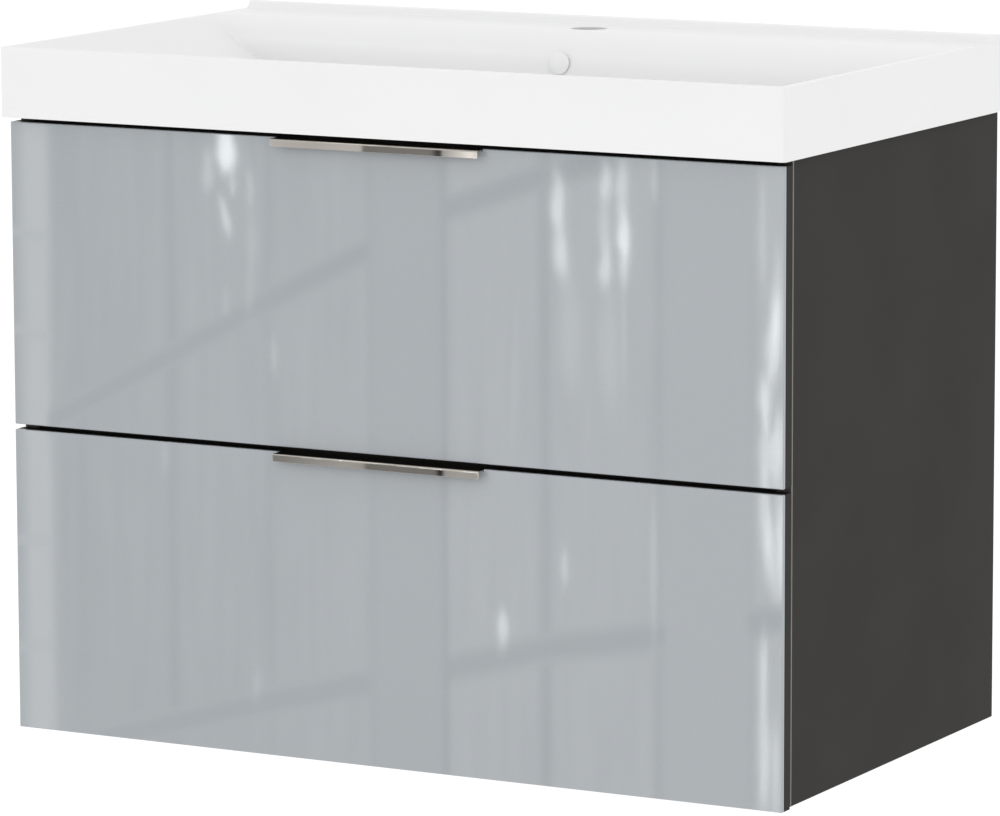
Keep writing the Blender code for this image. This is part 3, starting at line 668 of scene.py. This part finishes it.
def washbasin():
    sides = ((-1, BASIN_LOW.y), (1, BASIN_LOW.y), (1, BASIN_HIGH.y), (-1, BASIN_HIGH.y))
    outline = rounded([(sign * HALF_WIDTH, y, CORNER) for sign, y in sides])
    basin = prism("washbasin_cast", outline, "Z", APRON_BOTTOM, BASIN_HIGH.z + 0.002)
    inner_x = HALF_WIDTH - APRON_WALL
    low = (-inner_x, BASIN_LOW.y + APRON_WALL, APRON_BOTTOM - 0.02)
    high = (inner_x, BASIN_HIGH.y - APRON_WALL, RIM_Z - CAST_WALL)
    boss_top = RIM_Z - BOWL_DEPTH - CAST_BITE
    boss_foot = RIM_Z - DRAIN_BOSS
    boss_profile = [
        (0, boss_foot),
        (DRAIN_BOSS_RADIUS - BOSS_EDGE, boss_foot),
        (DRAIN_BOSS_RADIUS, boss_foot + BOSS_EDGE),
        (DRAIN_BOSS_RADIUS, boss_top),
        (0, boss_top),
    ]
    boss = turned("basin_boss", boss_profile, 72)
    boss.location.y = DRAIN_Y
    floor_top = RIM_Z - BOWL_DEPTH + CREASE / 4
    seat_level = boss_top + 0.001
    seat = flared_hole("basin_seat", DRAIN_SEAT_RADIUS, 0.0015, floor_top, seat_level)
    seat.location.y = DRAIN_Y
    drain = flared_hole("basin_drain", DRAIN_RADIUS, 0.001, seat_level, boss_foot - 0.01)
    drain.location.y = DRAIN_Y
    tap = flared_hole("basin_tap_hole", TAP_RADIUS, 0.0012, RIM_Z, RIM_Z - 0.030)
    tap.location.y = TAP_Y
    reach = 0.030
    overflow_profile = [(0, 0), (OVERFLOW_RADIUS, 0), (OVERFLOW_RADIUS, reach), (0, reach)]
    overflow = turned("basin_overflow", overflow_profile, 48)
    overflow.rotation_euler.x = math.pi / 2
    overflow.location = (0, REAR_WALL + CAST_WALL + 0.005, RIM_Z - OVERFLOW_DROP)
    steps = [
        (block("basin_underside", low, high), "DIFFERENCE"),
        (basin_shell(), "UNION"),
        (boss, "UNION"),
        (duct("basin_duct", DUCT_WALL, CAST_BITE), "UNION"),
        (basin_air(), "DIFFERENCE"),
        (seat, "DIFFERENCE"),
        (drain, "DIFFERENCE"),
        (tap, "DIFFERENCE"),
        (duct("basin_duct_hollow", 0, 0), "DIFFERENCE"),
        (overflow, "DIFFERENCE"),
    ]
    for other, operation in steps:
        boolean(basin, other, operation)
    apply(basin)
    for other, _ in steps:
        bpy.data.objects.remove(other)
    basin.data.materials.clear()
    for look in (GEL_COAT, RAW_CAST):
        basin.data.materials.append(look)
    centres = np.zeros(len(basin.data.polygons) * 3)
    basin.data.polygons.foreach_get("center", centres)
    x, y, z = centres.reshape(-1, 3).T
    hidden = (z < basin_top(x, y) - 0.004) & (inside_rectangle(x, y, CORNER) > 0.001)
    hidden &= np.hypot(x, y - DRAIN_Y) > DRAIN_RADIUS + 0.001
    basin.data.polygons.foreach_set("material_index", hidden.astype(np.int32))
    smooth(basin, 32)
    stand_for(basin, "washbasin")


# --- Case, fronts and handles ---


def side_of(normal, axis):
    """The side of a board that a normal points to along an axis, such as "+Y"."""
    return ("+" if normal[axis] > 0 else "-") + "XYZ"[axis]


def board(node, skin, band, bare=(), edge=0.0005, highlight_sides=()):
    """A coated board: skins (slot 0) on its broad faces, bands (1) on its edges, chips (2) on its bare edges.

    The rounding between the two sides in the last argument gets band 3, lightened: partly a trimmed band's
    pale line, partly a painted highlight.
    """
    low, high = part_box(node)
    size = high - low
    thin = min(range(3), key=lambda axis: size[axis])
    shape = bmesh.new()
    add_block(shape, low, high)
    bmesh.ops.bevel(shape, geom=shape.edges[:], offset=edge, segments=2, profile=0.5, affect="EDGES")
    for face in shape.faces:
        axis = max(range(3), key=lambda i: abs(face.normal[i]))
        if abs(face.normal[axis]) < 0.99:
            sides = {side_of(face.normal, i) for i in range(3) if abs(face.normal[i]) > 0.2}
            # slot 3 on the chosen rounding is the lighter band with its painted highlight
            face.material_index = 3 if highlight_sides and sides == set(highlight_sides) else 1
        elif axis != thin:
            face.material_index = 2 if side_of(face.normal, axis) in bare else 1
    piece = from_bmesh(f"{node}_coated", shape, skin, band, CHIPS, TRIMMED_BAND_HIGHLIGHT)
    smooth(piece, 30)
    stand_for(piece, node)


def case_boards():
    board("side_panel_left", ANTHRACITE, BAND, ("+Y", "+Z"), TRIMMED_EDGE, ("-X", "-Y"))
    board("side_panel_right", ANTHRACITE, BAND, ("+Y", "+Z"), TRIMMED_EDGE, ("+X", "-Y"))
    board("bottom_panel", ANTHRACITE, BAND, ("+Y",))
    for node in ("front_rail", "middle_rail", "lower_rear_rail"):
        board(node, ANTHRACITE, BAND, ("+Z", "-Z"))


def handle(drawer):
    """A bent strip with rounded edges, which hooks over the top edge of the front."""
    node = f"{drawer}_handle"
    low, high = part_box(node)
    lip = low.y + HANDLE_SHEET / 2
    flange = high.y - HANDLE_SHEET / 2
    level = high.z - HANDLE_SHEET / 2
    corners = [
        (lip, high.z - HANDLE_FACE, 0),
        (lip, level, HANDLE_BEND),
        (flange, level, HANDLE_BEND),
        (flange, low.z, 0),
    ]
    outline = sheet_outline(rounded(corners, 8), HANDLE_SHEET)
    piece = prism(f"{node}_strip", outline, "X", low.x, high.x)
    bevel(piece, 0.00022, 2, 60)
    apply(piece)
    piece.data.materials.append(NICKEL)
    smooth(piece, 40, HANDLE_FLAT_OVER)
    stand_for(piece, node)


# --- Drawers and runners ---


def runner_profile(node):
    """A rolled profile with round corners in place of the plain folded one."""
    low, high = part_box(node)
    on_right = low.x > 0
    opens_inward = "runner_drawer" not in node  # as the cabinet and middle profiles do
    web = high.x if on_right == opens_inward else low.x
    tip = low.x + high.x - web
    web += math.copysign(RUNNER_SHEET / 2, tip - web)
    upper = high.z - RUNNER_SHEET / 2
    lower = low.z + RUNNER_SHEET / 2
    corners = [(tip, upper, 0), (web, upper, RUNNER_BEND), (web, lower, RUNNER_BEND), (tip, lower, 0)]
    outline = sheet_outline(rounded(corners, 6), RUNNER_SHEET)
    piece = prism(f"{node}_rolled", outline, "Y", low.y, high.y)
    bevel(piece, 0.0002, 1, 60)
    apply(piece)
    piece.data.materials.append(ZINC)
    smooth(piece, 40)
    stand_for(piece, node)


def cross_screw(radius, height):
    """The mesh of a screw head with a cross recess, standing on z = 0."""
    profile = [(0, 0), (radius, 0), (radius, height * 0.35)]
    for step in range(1, 7):
        turn = math.pi / 2 * step / 6
        profile.append((radius * math.cos(turn), height * (0.35 + 0.65 * math.sin(turn))))
    profile[-1] = (0, height)
    head = turned("screw_head", profile, 32)
    slot = radius * 0.14
    arm = radius * 0.62
    cutters = []
    for half_x, half_y in ((arm, slot), (slot, arm)):
        cutters.append(block("screw_slot", (-half_x, -half_y, height * 0.3), (half_x, half_y, height * 2)))
        boolean(head, cutters[-1], "DIFFERENCE")
    apply(head)
    for cutter in cutters:
        bpy.data.objects.remove(cutter)
    return loose_mesh(head, ZINC, 40)


def put_screws(name, mesh, body, places, facing):
    """Screw heads that face along a direction, each twisted a little differently."""
    for i, place in enumerate(places):
        put(f"{name}_{i + 1}", mesh, body, place, facing, 0.7 * i + 0.3)


def drawer_screws(drawer, mesh):
    """Screws of the front's brackets and of the drawer's runner profiles."""
    for side, sign in SIDES:
        low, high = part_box(f"{drawer}_front_bracket_{side}")
        levels = (low.z + 0.014, high.z - 0.014)
        inner, outer = (low.x, high.x) if sign > 0 else (high.x, low.x)
        leg_face = outer - sign * BRACKET_SHEET
        on_side = [(leg_face, high.y - 0.012, z) for z in levels]
        put_screws(f"{drawer}_bracket_side_screw_{side}", mesh, drawer, on_side, (-sign, 0, 0))
        on_front = [(inner + sign * 0.009, low.y + BRACKET_SHEET, z) for z in levels]
        put_screws(f"{drawer}_bracket_front_screw_{side}", mesh, drawer, on_front, (0, 1, 0))
        low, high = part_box(f"{drawer}_runner_drawer_{side}")
        web = (low.x if sign > 0 else high.x) + sign * RUNNER_SHEET
        along = [(web, low.y + run, (low.z + high.z) / 2) for run in (0.035, 0.195, 0.355)]
        put_screws(f"{drawer}_runner_screw_{side}", mesh, drawer, along, (sign, 0, 0))


def ball_mesh(name, places, radius, strip_low, strip_high):
    """Balls in a row on their pressed cage strip."""
    shape = bmesh.new()
    for place in places:
        move = Matrix.Translation(place)
        bmesh.ops.create_uvsphere(shape, u_segments=16, v_segments=10, radius=radius, matrix=move)
    for face in shape.faces:
        face.smooth = True
    add_block(shape, strip_low, strip_high)
    return from_bmesh(name, shape, ZINC)


def ball_cages(drawer):
    """The rows of balls between the runners' profiles. They travel with the middle profile."""
    run = BALL_PITCH * (BALLS - 1)
    half_thick, half_wide = CAGE_HALF
    for side, _ in SIDES:
        middle_low, middle_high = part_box(f"{drawer}_runner_middle_{side}")
        for race, partner, radius in (("outer", "cabinet", 0.0009), ("inner", "drawer", 0.0011)):
            low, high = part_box(f"{drawer}_runner_{partner}_{side}")
            x = (max(low.x, middle_low.x) + min(high.x, middle_high.x)) / 2
            rise = (high.z - low.z) / 2
            middle_rise = (middle_high.z - middle_low.z) / 2
            level = (max(rise, middle_rise) - RUNNER_SHEET + min(rise, middle_rise)) / 2
            centre = (low.z + high.z) / 2
            start = middle_low.y + CAGE_INSET if race == "inner" else middle_high.y - CAGE_INSET - run
            for row, up in (("upper", 1), ("lower", -1)):
                z = centre + up * level
                places = [(x, start + BALL_PITCH * i, z) for i in range(BALLS)]
                strip_low = (x - half_thick, start - CAGE_END, z - half_wide)
                strip_high = (x + half_thick, start + run + CAGE_END, z + half_wide)
                name = f"{drawer}_{race}_balls_{row}_{side}"
                balls = ball_mesh(name, places, radius, strip_low, strip_high)
                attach(balls, BODY_OF[f"{drawer}_runner_middle_{side}"])


def disc_mesh(name, radius, height, look):
    """A pressed cover with a rounded rim and a shallow dish."""
    profile = [(0, 0), (radius, 0), (radius, height * 0.6), (radius * 0.94, height), (radius * 0.72, height)]
    disc = turned(name, [*profile, (radius * 0.62, height * 0.6), (0, height * 0.6)], 40)
    return loose_mesh(disc, look, 30)


def cam_covers():
    """Covers over the cam fasteners at the ends of the case's boards."""
    cover = disc_mesh("cam_cover", 0.0085, 0.0009, PLASTIC)
    rows = [
        ("bottom_panel", 1, 2),
        ("rear_rail", -1, 1),
        ("lower_rear_rail", -1, 1),
        ("middle_rail", 1, 1),
        ("front_rail", 1, 1),
    ]
    for node, toward, axis in rows:
        low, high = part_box(node)
        for side, sign in SIDES:
            for i, share in enumerate((0.25, 0.75)):
                along = 3 - axis
                place = (low + high) / 2
                place.x = (high.x if sign > 0 else low.x) - sign * CAM_INSET
                place[along] = low[along] + share * (high[along] - low[along])
                place[axis] = high[axis] if toward > 0 else low[axis]
                facing = [0, 0, 0]
                facing[axis] = toward
                put(f"{node}_cam_cover_{side}_{i + 1}", cover, "cabinet", place, facing)


def hanger_screws(mesh):
    """Adjusting screws on the hanger housings."""
    for side, _ in SIDES:
        low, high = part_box(f"hanger_housing_{side}")
        x = (low.x + high.x) / 2
        places = [(x, low.y, low.z + share * (high.z - low.z)) for share in (0.28, 0.72)]
        put_screws(f"hanger_adjuster_{side}", mesh, "cabinet", places, (0, -1, 0))


def fittings():
    small = cross_screw(0.0033, 0.0016)
    flat = cross_screw(0.0030, 0.0008)
    large = cross_screw(0.0042, 0.0018)
    for drawer in DRAWERS:
        drawer_screws(drawer, small)
        ball_cages(drawer)
        for side, sign in SIDES:
            low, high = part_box(f"{drawer}_runner_cabinet_{side}")
            web = (high.x if sign > 0 else low.x) - sign * RUNNER_SHEET
            along = [(web, low.y + run, (low.z + high.z) / 2) for run in (0.028, 0.190, 0.360)]
            put_screws(f"{drawer}_case_screw_{side}", flat, "cabinet", along, (-sign, 0, 0))
    hanger_screws(large)
    cam_covers()


def keep_nodes():
    """CAD nodes that stay: a finished material, broken edges and smooth round faces."""
    for name, node in frame["nodes"].items():
        if node.hide_render:
            continue
        node.data.materials.clear()
        node.data.materials.append(LOOK_OF_SLOT[SLOT_OF[name]])
        bevel(node, *EDGES.get(name.split("drawer_")[-1], PLAIN_EDGE))
        smooth(node, 40)


# --- Studio ---


FRONTS_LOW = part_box("lower_drawer_front_face")[0]
FRONTS_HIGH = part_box("upper_drawer_front_face")[1]
RIM_OVER_FLOOR = 0.850
FLOOR_Z = RIM_Z - RIM_OVER_FLOOR
FLOOR_REACH = 60
FLOOR_GLOW = 0.81
ROOM_WHITE = 1.01
VIEW_TARGET = Vector((0.1176, FRONTS_LOW.y, -0.1872))
VIEW_AZIMUTH = math.radians(28.454)
VIEW_ELEVATION = math.radians(8.976)
VIEW_ROLL = math.radians(-0.184)
VIEW_DISTANCE = 5.466
VIEW_LENS = 219.31
VIEW_SENSOR = 36

# The window wall that the glossy fronts mirror, in the photograph's view. A place is a share of the fronts'
# width or height where the camera sees it, a size is in metres on the wall, and a level is a brightness.
WALL_DISTANCE = 0.750  # in front of the fronts
WALL_MARGIN = 0.6  # past both ends of what the fronts show
WALL_GLOW = 4  # the wall's strength, which the levels are divided by
CURTAIN_FOLDS = 0.28
# Distances in front of the window wall. Cards that overlap stand a small step apart.
TRANSOM_NEARER = 0.002
PILLAR_NEARER = 0.004
GLINT_NEARER = 0.006
HANDLE_WALL_NEARER = 0.045
HANDLE_WALL_MARGIN = 0.004  # past the handle's edges
WALL_ABOVE_HANDLE = 0.25  # how far the upper handle's card goes on above it
# The wall's bands: (place across, level)
WINDOW_WALL = [
    (0, 0.3), (0.006, 0.9), (0.020, 3.0), (0.048, 2.9), (0.053, 1.0), (0.060, 0.62), (0.084, 0.60),
    (0.092, 0.25), (0.100, 0.66), (0.207, 0.85), (0.214, 0.15), (0.219, 0.15), (0.226, 1.00), (0.340, 0.95),
    (0.3465, 0.15), (0.353, 1.05), (0.468, 1.25), (0.478, 1.00), (0.584, 1.65), (0.692, 1.60), (0.7035, 0.25),
    (0.7085, 0.25), (0.716, 1.65), (0.838, 1.60), (0.847, 0.40), (0.855, 1.35), (0.955, 1.35), (0.962, 0.90),
    (0.970, 2.00), (1, 2.20),
]
# Upright bars: (left, right, level)
PILLARS = [(0.477, 0.5715, 0.93), (0.477, 0.4855, 0.55), (0.5715, 0.5805, 0.03), (0.856, 0.957, 1.35)]
UPPER_TRANSOM = [(0.045, 0.510), (0.350, 0.740), (0.580, 0.902), (0.700, 0.962), (0.800, 1.003)]
LOWER_TRANSOM = [
    (0.100, -0.010), (0.350, 0.090), (0.580, 0.172), (0.710, 0.222), (0.850, 0.258), (1, 0.305),
]
# Bars across the wall: (width, level, points (across, up) of the bar's middle line)
TRANSOMS = [
    (0.030, 0.75, UPPER_TRANSOM),
    (0.017, 0.08, UPPER_TRANSOM),
    (0.034, 0.95, LOWER_TRANSOM),
    (0.019, 0.22, LOWER_TRANSOM),
    (0.011, 2.30, [(0, 0.822), (0.053, 0.815)]),
    (0.011, 2.30, [(0, 0.662), (0.053, 0.650)]),
    (0.011, 2.30, [(0, 0.312), (0.053, 0.318)]),
    (0.011, 2.30, [(0, 0.134), (0.053, 0.142)]),
]
# What the handles mirror: (share of the handle's length, level)
HANDLE_WALL = {
    "upper_drawer": [
        (0, 0.95), (0.20, 0.85), (0.36, 0.95), (0.444, 0.95), (0.454, 0.32), (0.60, 0.37), (0.78, 0.37),
        (0.808, 0.08), (0.826, 0.08), (0.836, 0.72), (0.92, 1.30), (0.965, 1.75), (1, 1.40),
    ],
    "lower_drawer": [
        (0, 0.38), (0.20, 0.56), (0.36, 0.68), (0.444, 0.64), (0.462, 0.32), (0.60, 0.34), (0.79, 0.35),
        (0.812, 0.02), (0.826, 0.02), (0.838, 0.64), (0.92, 0.74), (1, 0.66),
    ],
}
# Soft patches of daylight: (across, up, width, height, level, tilt in degrees)
GLINTS = [
    (0.2913, 0.975, 0.0185, 0.052, 13.0, 0),
    (0.3000, 0.922, 0.0060, 0.034, 4.5, 0),
    (0.2910, 0.862, 0.0070, 0.044, 7.0, -14),
    (0.2670, 0.935, 0.0105, 0.044, 3.4, 4),
    (0.3235, 0.912, 0.0070, 0.040, 3.0, 0),
    (0.3250, 0.835, 0.0120, 0.060, 1.3, 0),
    (0.2890, 0.728, 0.0040, 0.034, 2.6, 0),
    (0.3530, 0.648, 0.0045, 0.040, 3.4, 0),
    (0.3220, 0.760, 0.0080, 0.090, 1.3, 3),
    (0.7200, 0.928, 0.0110, 0.058, 7.5, 3),
    (0.7230, 0.850, 0.0120, 0.068, 6.5, -2),
    (0.7350, 0.715, 0.0200, 0.150, 1.2, 0),
    (0.7810, 0.960, 0.0090, 0.042, 6.5, 3),
    (0.7780, 0.893, 0.0100, 0.066, 3.6, 0),
    (0.7795, 0.828, 0.0095, 0.046, 6.5, 7),
    (0.7830, 0.700, 0.0160, 0.150, 1.3, 0),
    (0.8010, 0.960, 0.0100, 0.050, 5.5, 2),
    (0.8025, 0.882, 0.0105, 0.056, 10.0, 0),
    (0.8030, 0.832, 0.0080, 0.046, 5.0, 4),
    (0.8030, 0.730, 0.0034, 0.130, 2.4, 0),
    (0.8410, 0.968, 0.0048, 0.050, 3.6, 0),
    (0.9730, 0.900, 0.0058, 0.120, 3.2, 0),
    (0.9900, 0.795, 0.0075, 0.110, 4.5, 3),
    (0.9870, 0.730, 0.0120, 0.095, 8.0, 6),
    (0.9757, 0.640, 0.0090, 0.052, 8.5, -4),
    (0.9915, 0.568, 0.0110, 0.075, 8.0, 3),
    (0.9770, 0.560, 0.0110, 0.075, 5.5, 0),
    (0.9770, 0.450, 0.0090, 0.110, 6.0, -2),
    (0.9850, 0.400, 0.0075, 0.090, 5.0, -4),
    (0.9960, 0.420, 0.0080, 0.110, 8.0, 0),
    (0.9755, 0.210, 0.0065, 0.090, 7.0, 1),
    (0.9765, 0.080, 0.0100, 0.110, 6.0, 0),
    (0.9915, 0.060, 0.0065, 0.110, 5.0, 0),
    (0.6490, 0.243, 0.0090, 0.042, 7.0, 0),
    (0.7280, 0.350, 0.0060, 0.040, 4.5, 0),
    (0.2060, 0.470, 0.0070, 0.034, 1.6, 0),
    (0.3260, 0.110, 0.0070, 0.036, 1.8, 6),
    (0.6640, 0.620, 0.0050, 0.180, 1.1, 3),
    (0.8400, 0.360, 0.0050, 0.160, 2.4, 0),
]
GLINT_WIDTH = 0.85  # of the width that GLINTS states
GLINT_HEIGHT = 0.75
BRIGHTEST = 14  # the daylight's strength, which the glints' levels are divided by


def eye():
    """Where the photograph's camera stands."""
    across = math.sin(VIEW_AZIMUTH) * math.cos(VIEW_ELEVATION)
    back = -math.cos(VIEW_AZIMUTH) * math.cos(VIEW_ELEVATION)
    return VIEW_TARGET + Vector((across, back, math.sin(VIEW_ELEVATION))) * VIEW_DISTANCE


def reflected(place, nearer):
    """The place on the window wall that the camera sees in an upright mirror at this place."""
    behind = eye()
    behind.y = 2 * place.y - behind.y
    wall = FRONTS_LOW.y - WALL_DISTANCE + nearer
    return behind + (place - behind) * ((behind.y - wall) / (behind.y - place.y))


def mirrored(across, up, nearer=0.0):
    """The place on the window wall that the fronts show at a share of their width and height."""
    seen = FRONTS_LOW.copy()
    seen.x += across * (FRONTS_HIGH.x - FRONTS_LOW.x)
    seen.z += up * (FRONTS_HIGH.z - FRONTS_LOW.z)
    return reflected(seen, nearer)


def card(name, corners, material):
    """A stage card that only glossy surfaces see."""
    shape = bmesh.new()
    middle = sum(corners, Vector()) / len(corners)
    shape.faces.new([shape.verts.new(corner - middle) for corner in corners])
    made = from_bmesh(name, shape, material)
    made.location = middle
    for rays in ("camera", "diffuse", "shadow", "transmission", "volume_scatter"):
        setattr(made, f"visible_{rays}", False)
    return made


def glow(name, level):
    """A material that only glows."""
    look = Look(name)
    look.tree.nodes.remove(look.surface)
    look.surface = look.node("Emission", {"Strength": level})
    look.show(look.surface)
    return look


def upright(name, low, high, material):
    """An upright card between two opposite corners."""
    places = ((low.x, low.z), (high.x, low.z), (high.x, high.z), (low.x, high.z))
    card(name, [Vector((x, low.y, z)) for x, z in places], material)


def banded(name, reach, bands, folds=0.0):
    """A material that glows in bands across a card, which reaches this far to each side of its middle."""
    look = glow(name, WALL_GLOW)
    across = look.node("SeparateXYZ", {"Vector": look.place}).outputs["X"]
    share = look.node("MapRange", {"Value": across, "From Min": -reach, "From Max": reach})
    colour = look.ramp(share.outputs["Result"], *[(place, level / WALL_GLOW) for place, level in bands])
    if folds:
        curtain = look.noise(95, 3, 0.6, (1, 1, 0.05))
        colour = look.mix(1.0, colour, look.span(curtain, -folds, folds), "ADD")
    look.feed(look.surface.inputs["Color"], colour)
    return look.material


def window_wall():
    start, end = mirrored(0, 0), mirrored(1, 1)
    start.z = FLOOR_Z + 0.002
    margin = Vector((WALL_MARGIN, 0, 0))
    bands = banded("window_wall", (end.x - start.x) / 2, WINDOW_WALL, CURTAIN_FOLDS)
    upright("studio_window_wall", start - margin, end + margin, bands)
    for i, (width, level, line) in enumerate(TRANSOMS):
        dark = glow(f"transom_{i + 1}", level).material
        points = [mirrored(*point, TRANSOM_NEARER + 0.0005 * (i % 2)) for point in line]
        half = Vector((0, 0, width / 2))
        for j, (first, second) in enumerate(zip(points, points[1:])):
            corners = [first - half, second - half, second + half, first + half]
            card(f"studio_transom_{i + 1}_{j + 1}", corners, dark)
    for i, (left, right, level) in enumerate(PILLARS):
        low = mirrored(left, 0, PILLAR_NEARER + 0.0002 * i)
        high = mirrored(right, 1, PILLAR_NEARER)
        low.z = start.z
        upright(f"studio_pillar_{i + 1}", low, high, glow(f"pillar_{i + 1}", level).material)
    for drawer, bands in HANDLE_WALL.items():
        low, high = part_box(f"{drawer}_handle")
        first = reflected(Vector((low.x, low.y, high.z - HANDLE_FACE)), HANDLE_WALL_NEARER)
        last = reflected(Vector((high.x, low.y, high.z)), HANDLE_WALL_NEARER)
        material = banded(f"{drawer}_handle_wall", (last.x - first.x) / 2, bands)
        first.z -= HANDLE_WALL_MARGIN
        last.z += WALL_ABOVE_HANDLE if drawer == "upper_drawer" else HANDLE_WALL_MARGIN
        upright(f"studio_{drawer}_handle_wall", first, last, material)
    glints()


def glints():
    """Soft bright patches of daylight in front of the window wall."""
    look = glow("daylight", BRIGHTEST)
    own = look.node("ObjectInfo")
    shifted = look.vector("ADD", look.place, own.outputs["Location"])
    wobble = look.node("TexNoise", {"Vector": shifted, "Scale": 1.3, "Detail": 2.0})
    spread = look.vector("SUBTRACT", wobble.outputs["Color"], grey(0.5))
    bent = look.vector("ADD", look.place, look.vector("MULTIPLY", spread, (1.3, 0, 0.7)))
    ball = look.node("TexGradient", {"Vector": bent}, gradient_type="SPHERICAL")
    fade = look.ramp(ball.outputs["Fac"], (0.0, 0.0), (0.25, 0.25), (0.6, 1.0))
    bright = look.mix(1.0, fade, own.outputs["Color"], "MULTIPLY")
    look.feed(look.surface.inputs["Color"], bright)
    clear = look.node("BsdfTransparent")
    look.show(look.node("AddShader", {0: look.surface.outputs[0], 1: clear.outputs[0]}))
    square = [Vector((x, 0, z)) for x, z in ((-1.6, -1.6), (1.6, -1.6), (1.6, 1.6), (-1.6, 1.6))]
    for i, (across, up, width, height, level, tilt) in enumerate(GLINTS):
        patch = card(f"studio_glint_{i + 1}", square, look.material)
        patch.location = mirrored(across, up, GLINT_NEARER + 0.001 * i)
        patch.scale = (width * GLINT_WIDTH, 1, height * GLINT_HEIGHT)
        patch.rotation_euler.y = math.radians(tilt)
        share = level / BRIGHTEST
        patch.color = (share * 0.96, share, share, 1)


def floor():
    shape = bmesh.new()
    bmesh.ops.create_grid(shape, x_segments=1, y_segments=1, size=FLOOR_REACH)
    plane = from_bmesh("studio_floor", shape)
    plane.location.z = FLOOR_Z
    look = Look("pale_floor", roughness=0.9, specular_ior_level=0.1)
    look.colour(look.ramp(look.noise(0.6, 2), (0.3, grey(0.24)), (0.7, grey(0.26))))
    look.surface.inputs["Emission Color"].default_value = (1, 1, 1, 1)
    look.surface.inputs["Emission Strength"].default_value = FLOOR_GLOW
    plane.data.materials.append(look.material)


def softbox(name, place, target, size, power, for_gloss=False):
    """An area light that never shows in a surface, or that only shows in glossy ones."""
    light = bpy.data.lights.new(name, "AREA")
    light.shape = "RECTANGLE"
    light.size, light.size_y = size
    light.energy = power
    holder = link(name, light)
    holder.location = place
    direction = Vector(target) - Vector(place)
    holder.rotation_euler = direction.to_track_quat("-Z", "Y").to_euler()
    holder.visible_camera = False
    holder.visible_glossy = for_gloss
    holder.visible_diffuse = not for_gloss


def studio():
    world = bpy.data.worlds.new("studio_white")
    world.use_nodes = True
    background = world.node_tree.nodes["Background"]
    background.inputs["Color"].default_value = (1, 1, 1, 1)
    background.inputs["Strength"].default_value = ROOM_WHITE
    bpy.context.scene.world = world
    bpy.context.scene.view_settings.view_transform = "Standard"
    floor()
    window_wall()
    softbox("key", place=(-1.6, -3.4, 1.4), target=(0, -0.3, -0.1), size=(2.4, 2.4), power=14.5)
    softbox("fill", place=(1.9, -0.9, 2.2), target=(0, -0.3, 0), size=(1.2, 1.2), power=7)
    softbox("rim", place=(-1.7, -1.7, 2.2), target=(0, -0.45, 0), size=(0.9, 0.3), power=2.0, for_gloss=True)


def camera():
    """The photograph's view: from the right and a little above, through a long lens."""
    lens = bpy.data.cameras.new("photo_view")
    lens.lens = VIEW_LENS
    lens.sensor_width = VIEW_SENSOR
    holder = link("photo_view", lens)
    facing = (VIEW_TARGET - eye()).to_track_quat("-Z", "Y").to_matrix().to_4x4()
    holder.matrix_world = Matrix.Translation(eye()) @ facing @ Matrix.Rotation(VIEW_ROLL, 4, "Z")
    bpy.context.scene.camera = holder


washbasin()
case_boards()
for drawer in DRAWERS:
    handle(drawer)
    for member in ("cabinet", "middle", "drawer"):
        for side, _ in SIDES:
            runner_profile(f"{drawer}_runner_{member}_{side}")
fittings()
keep_nodes()
studio()
camera()
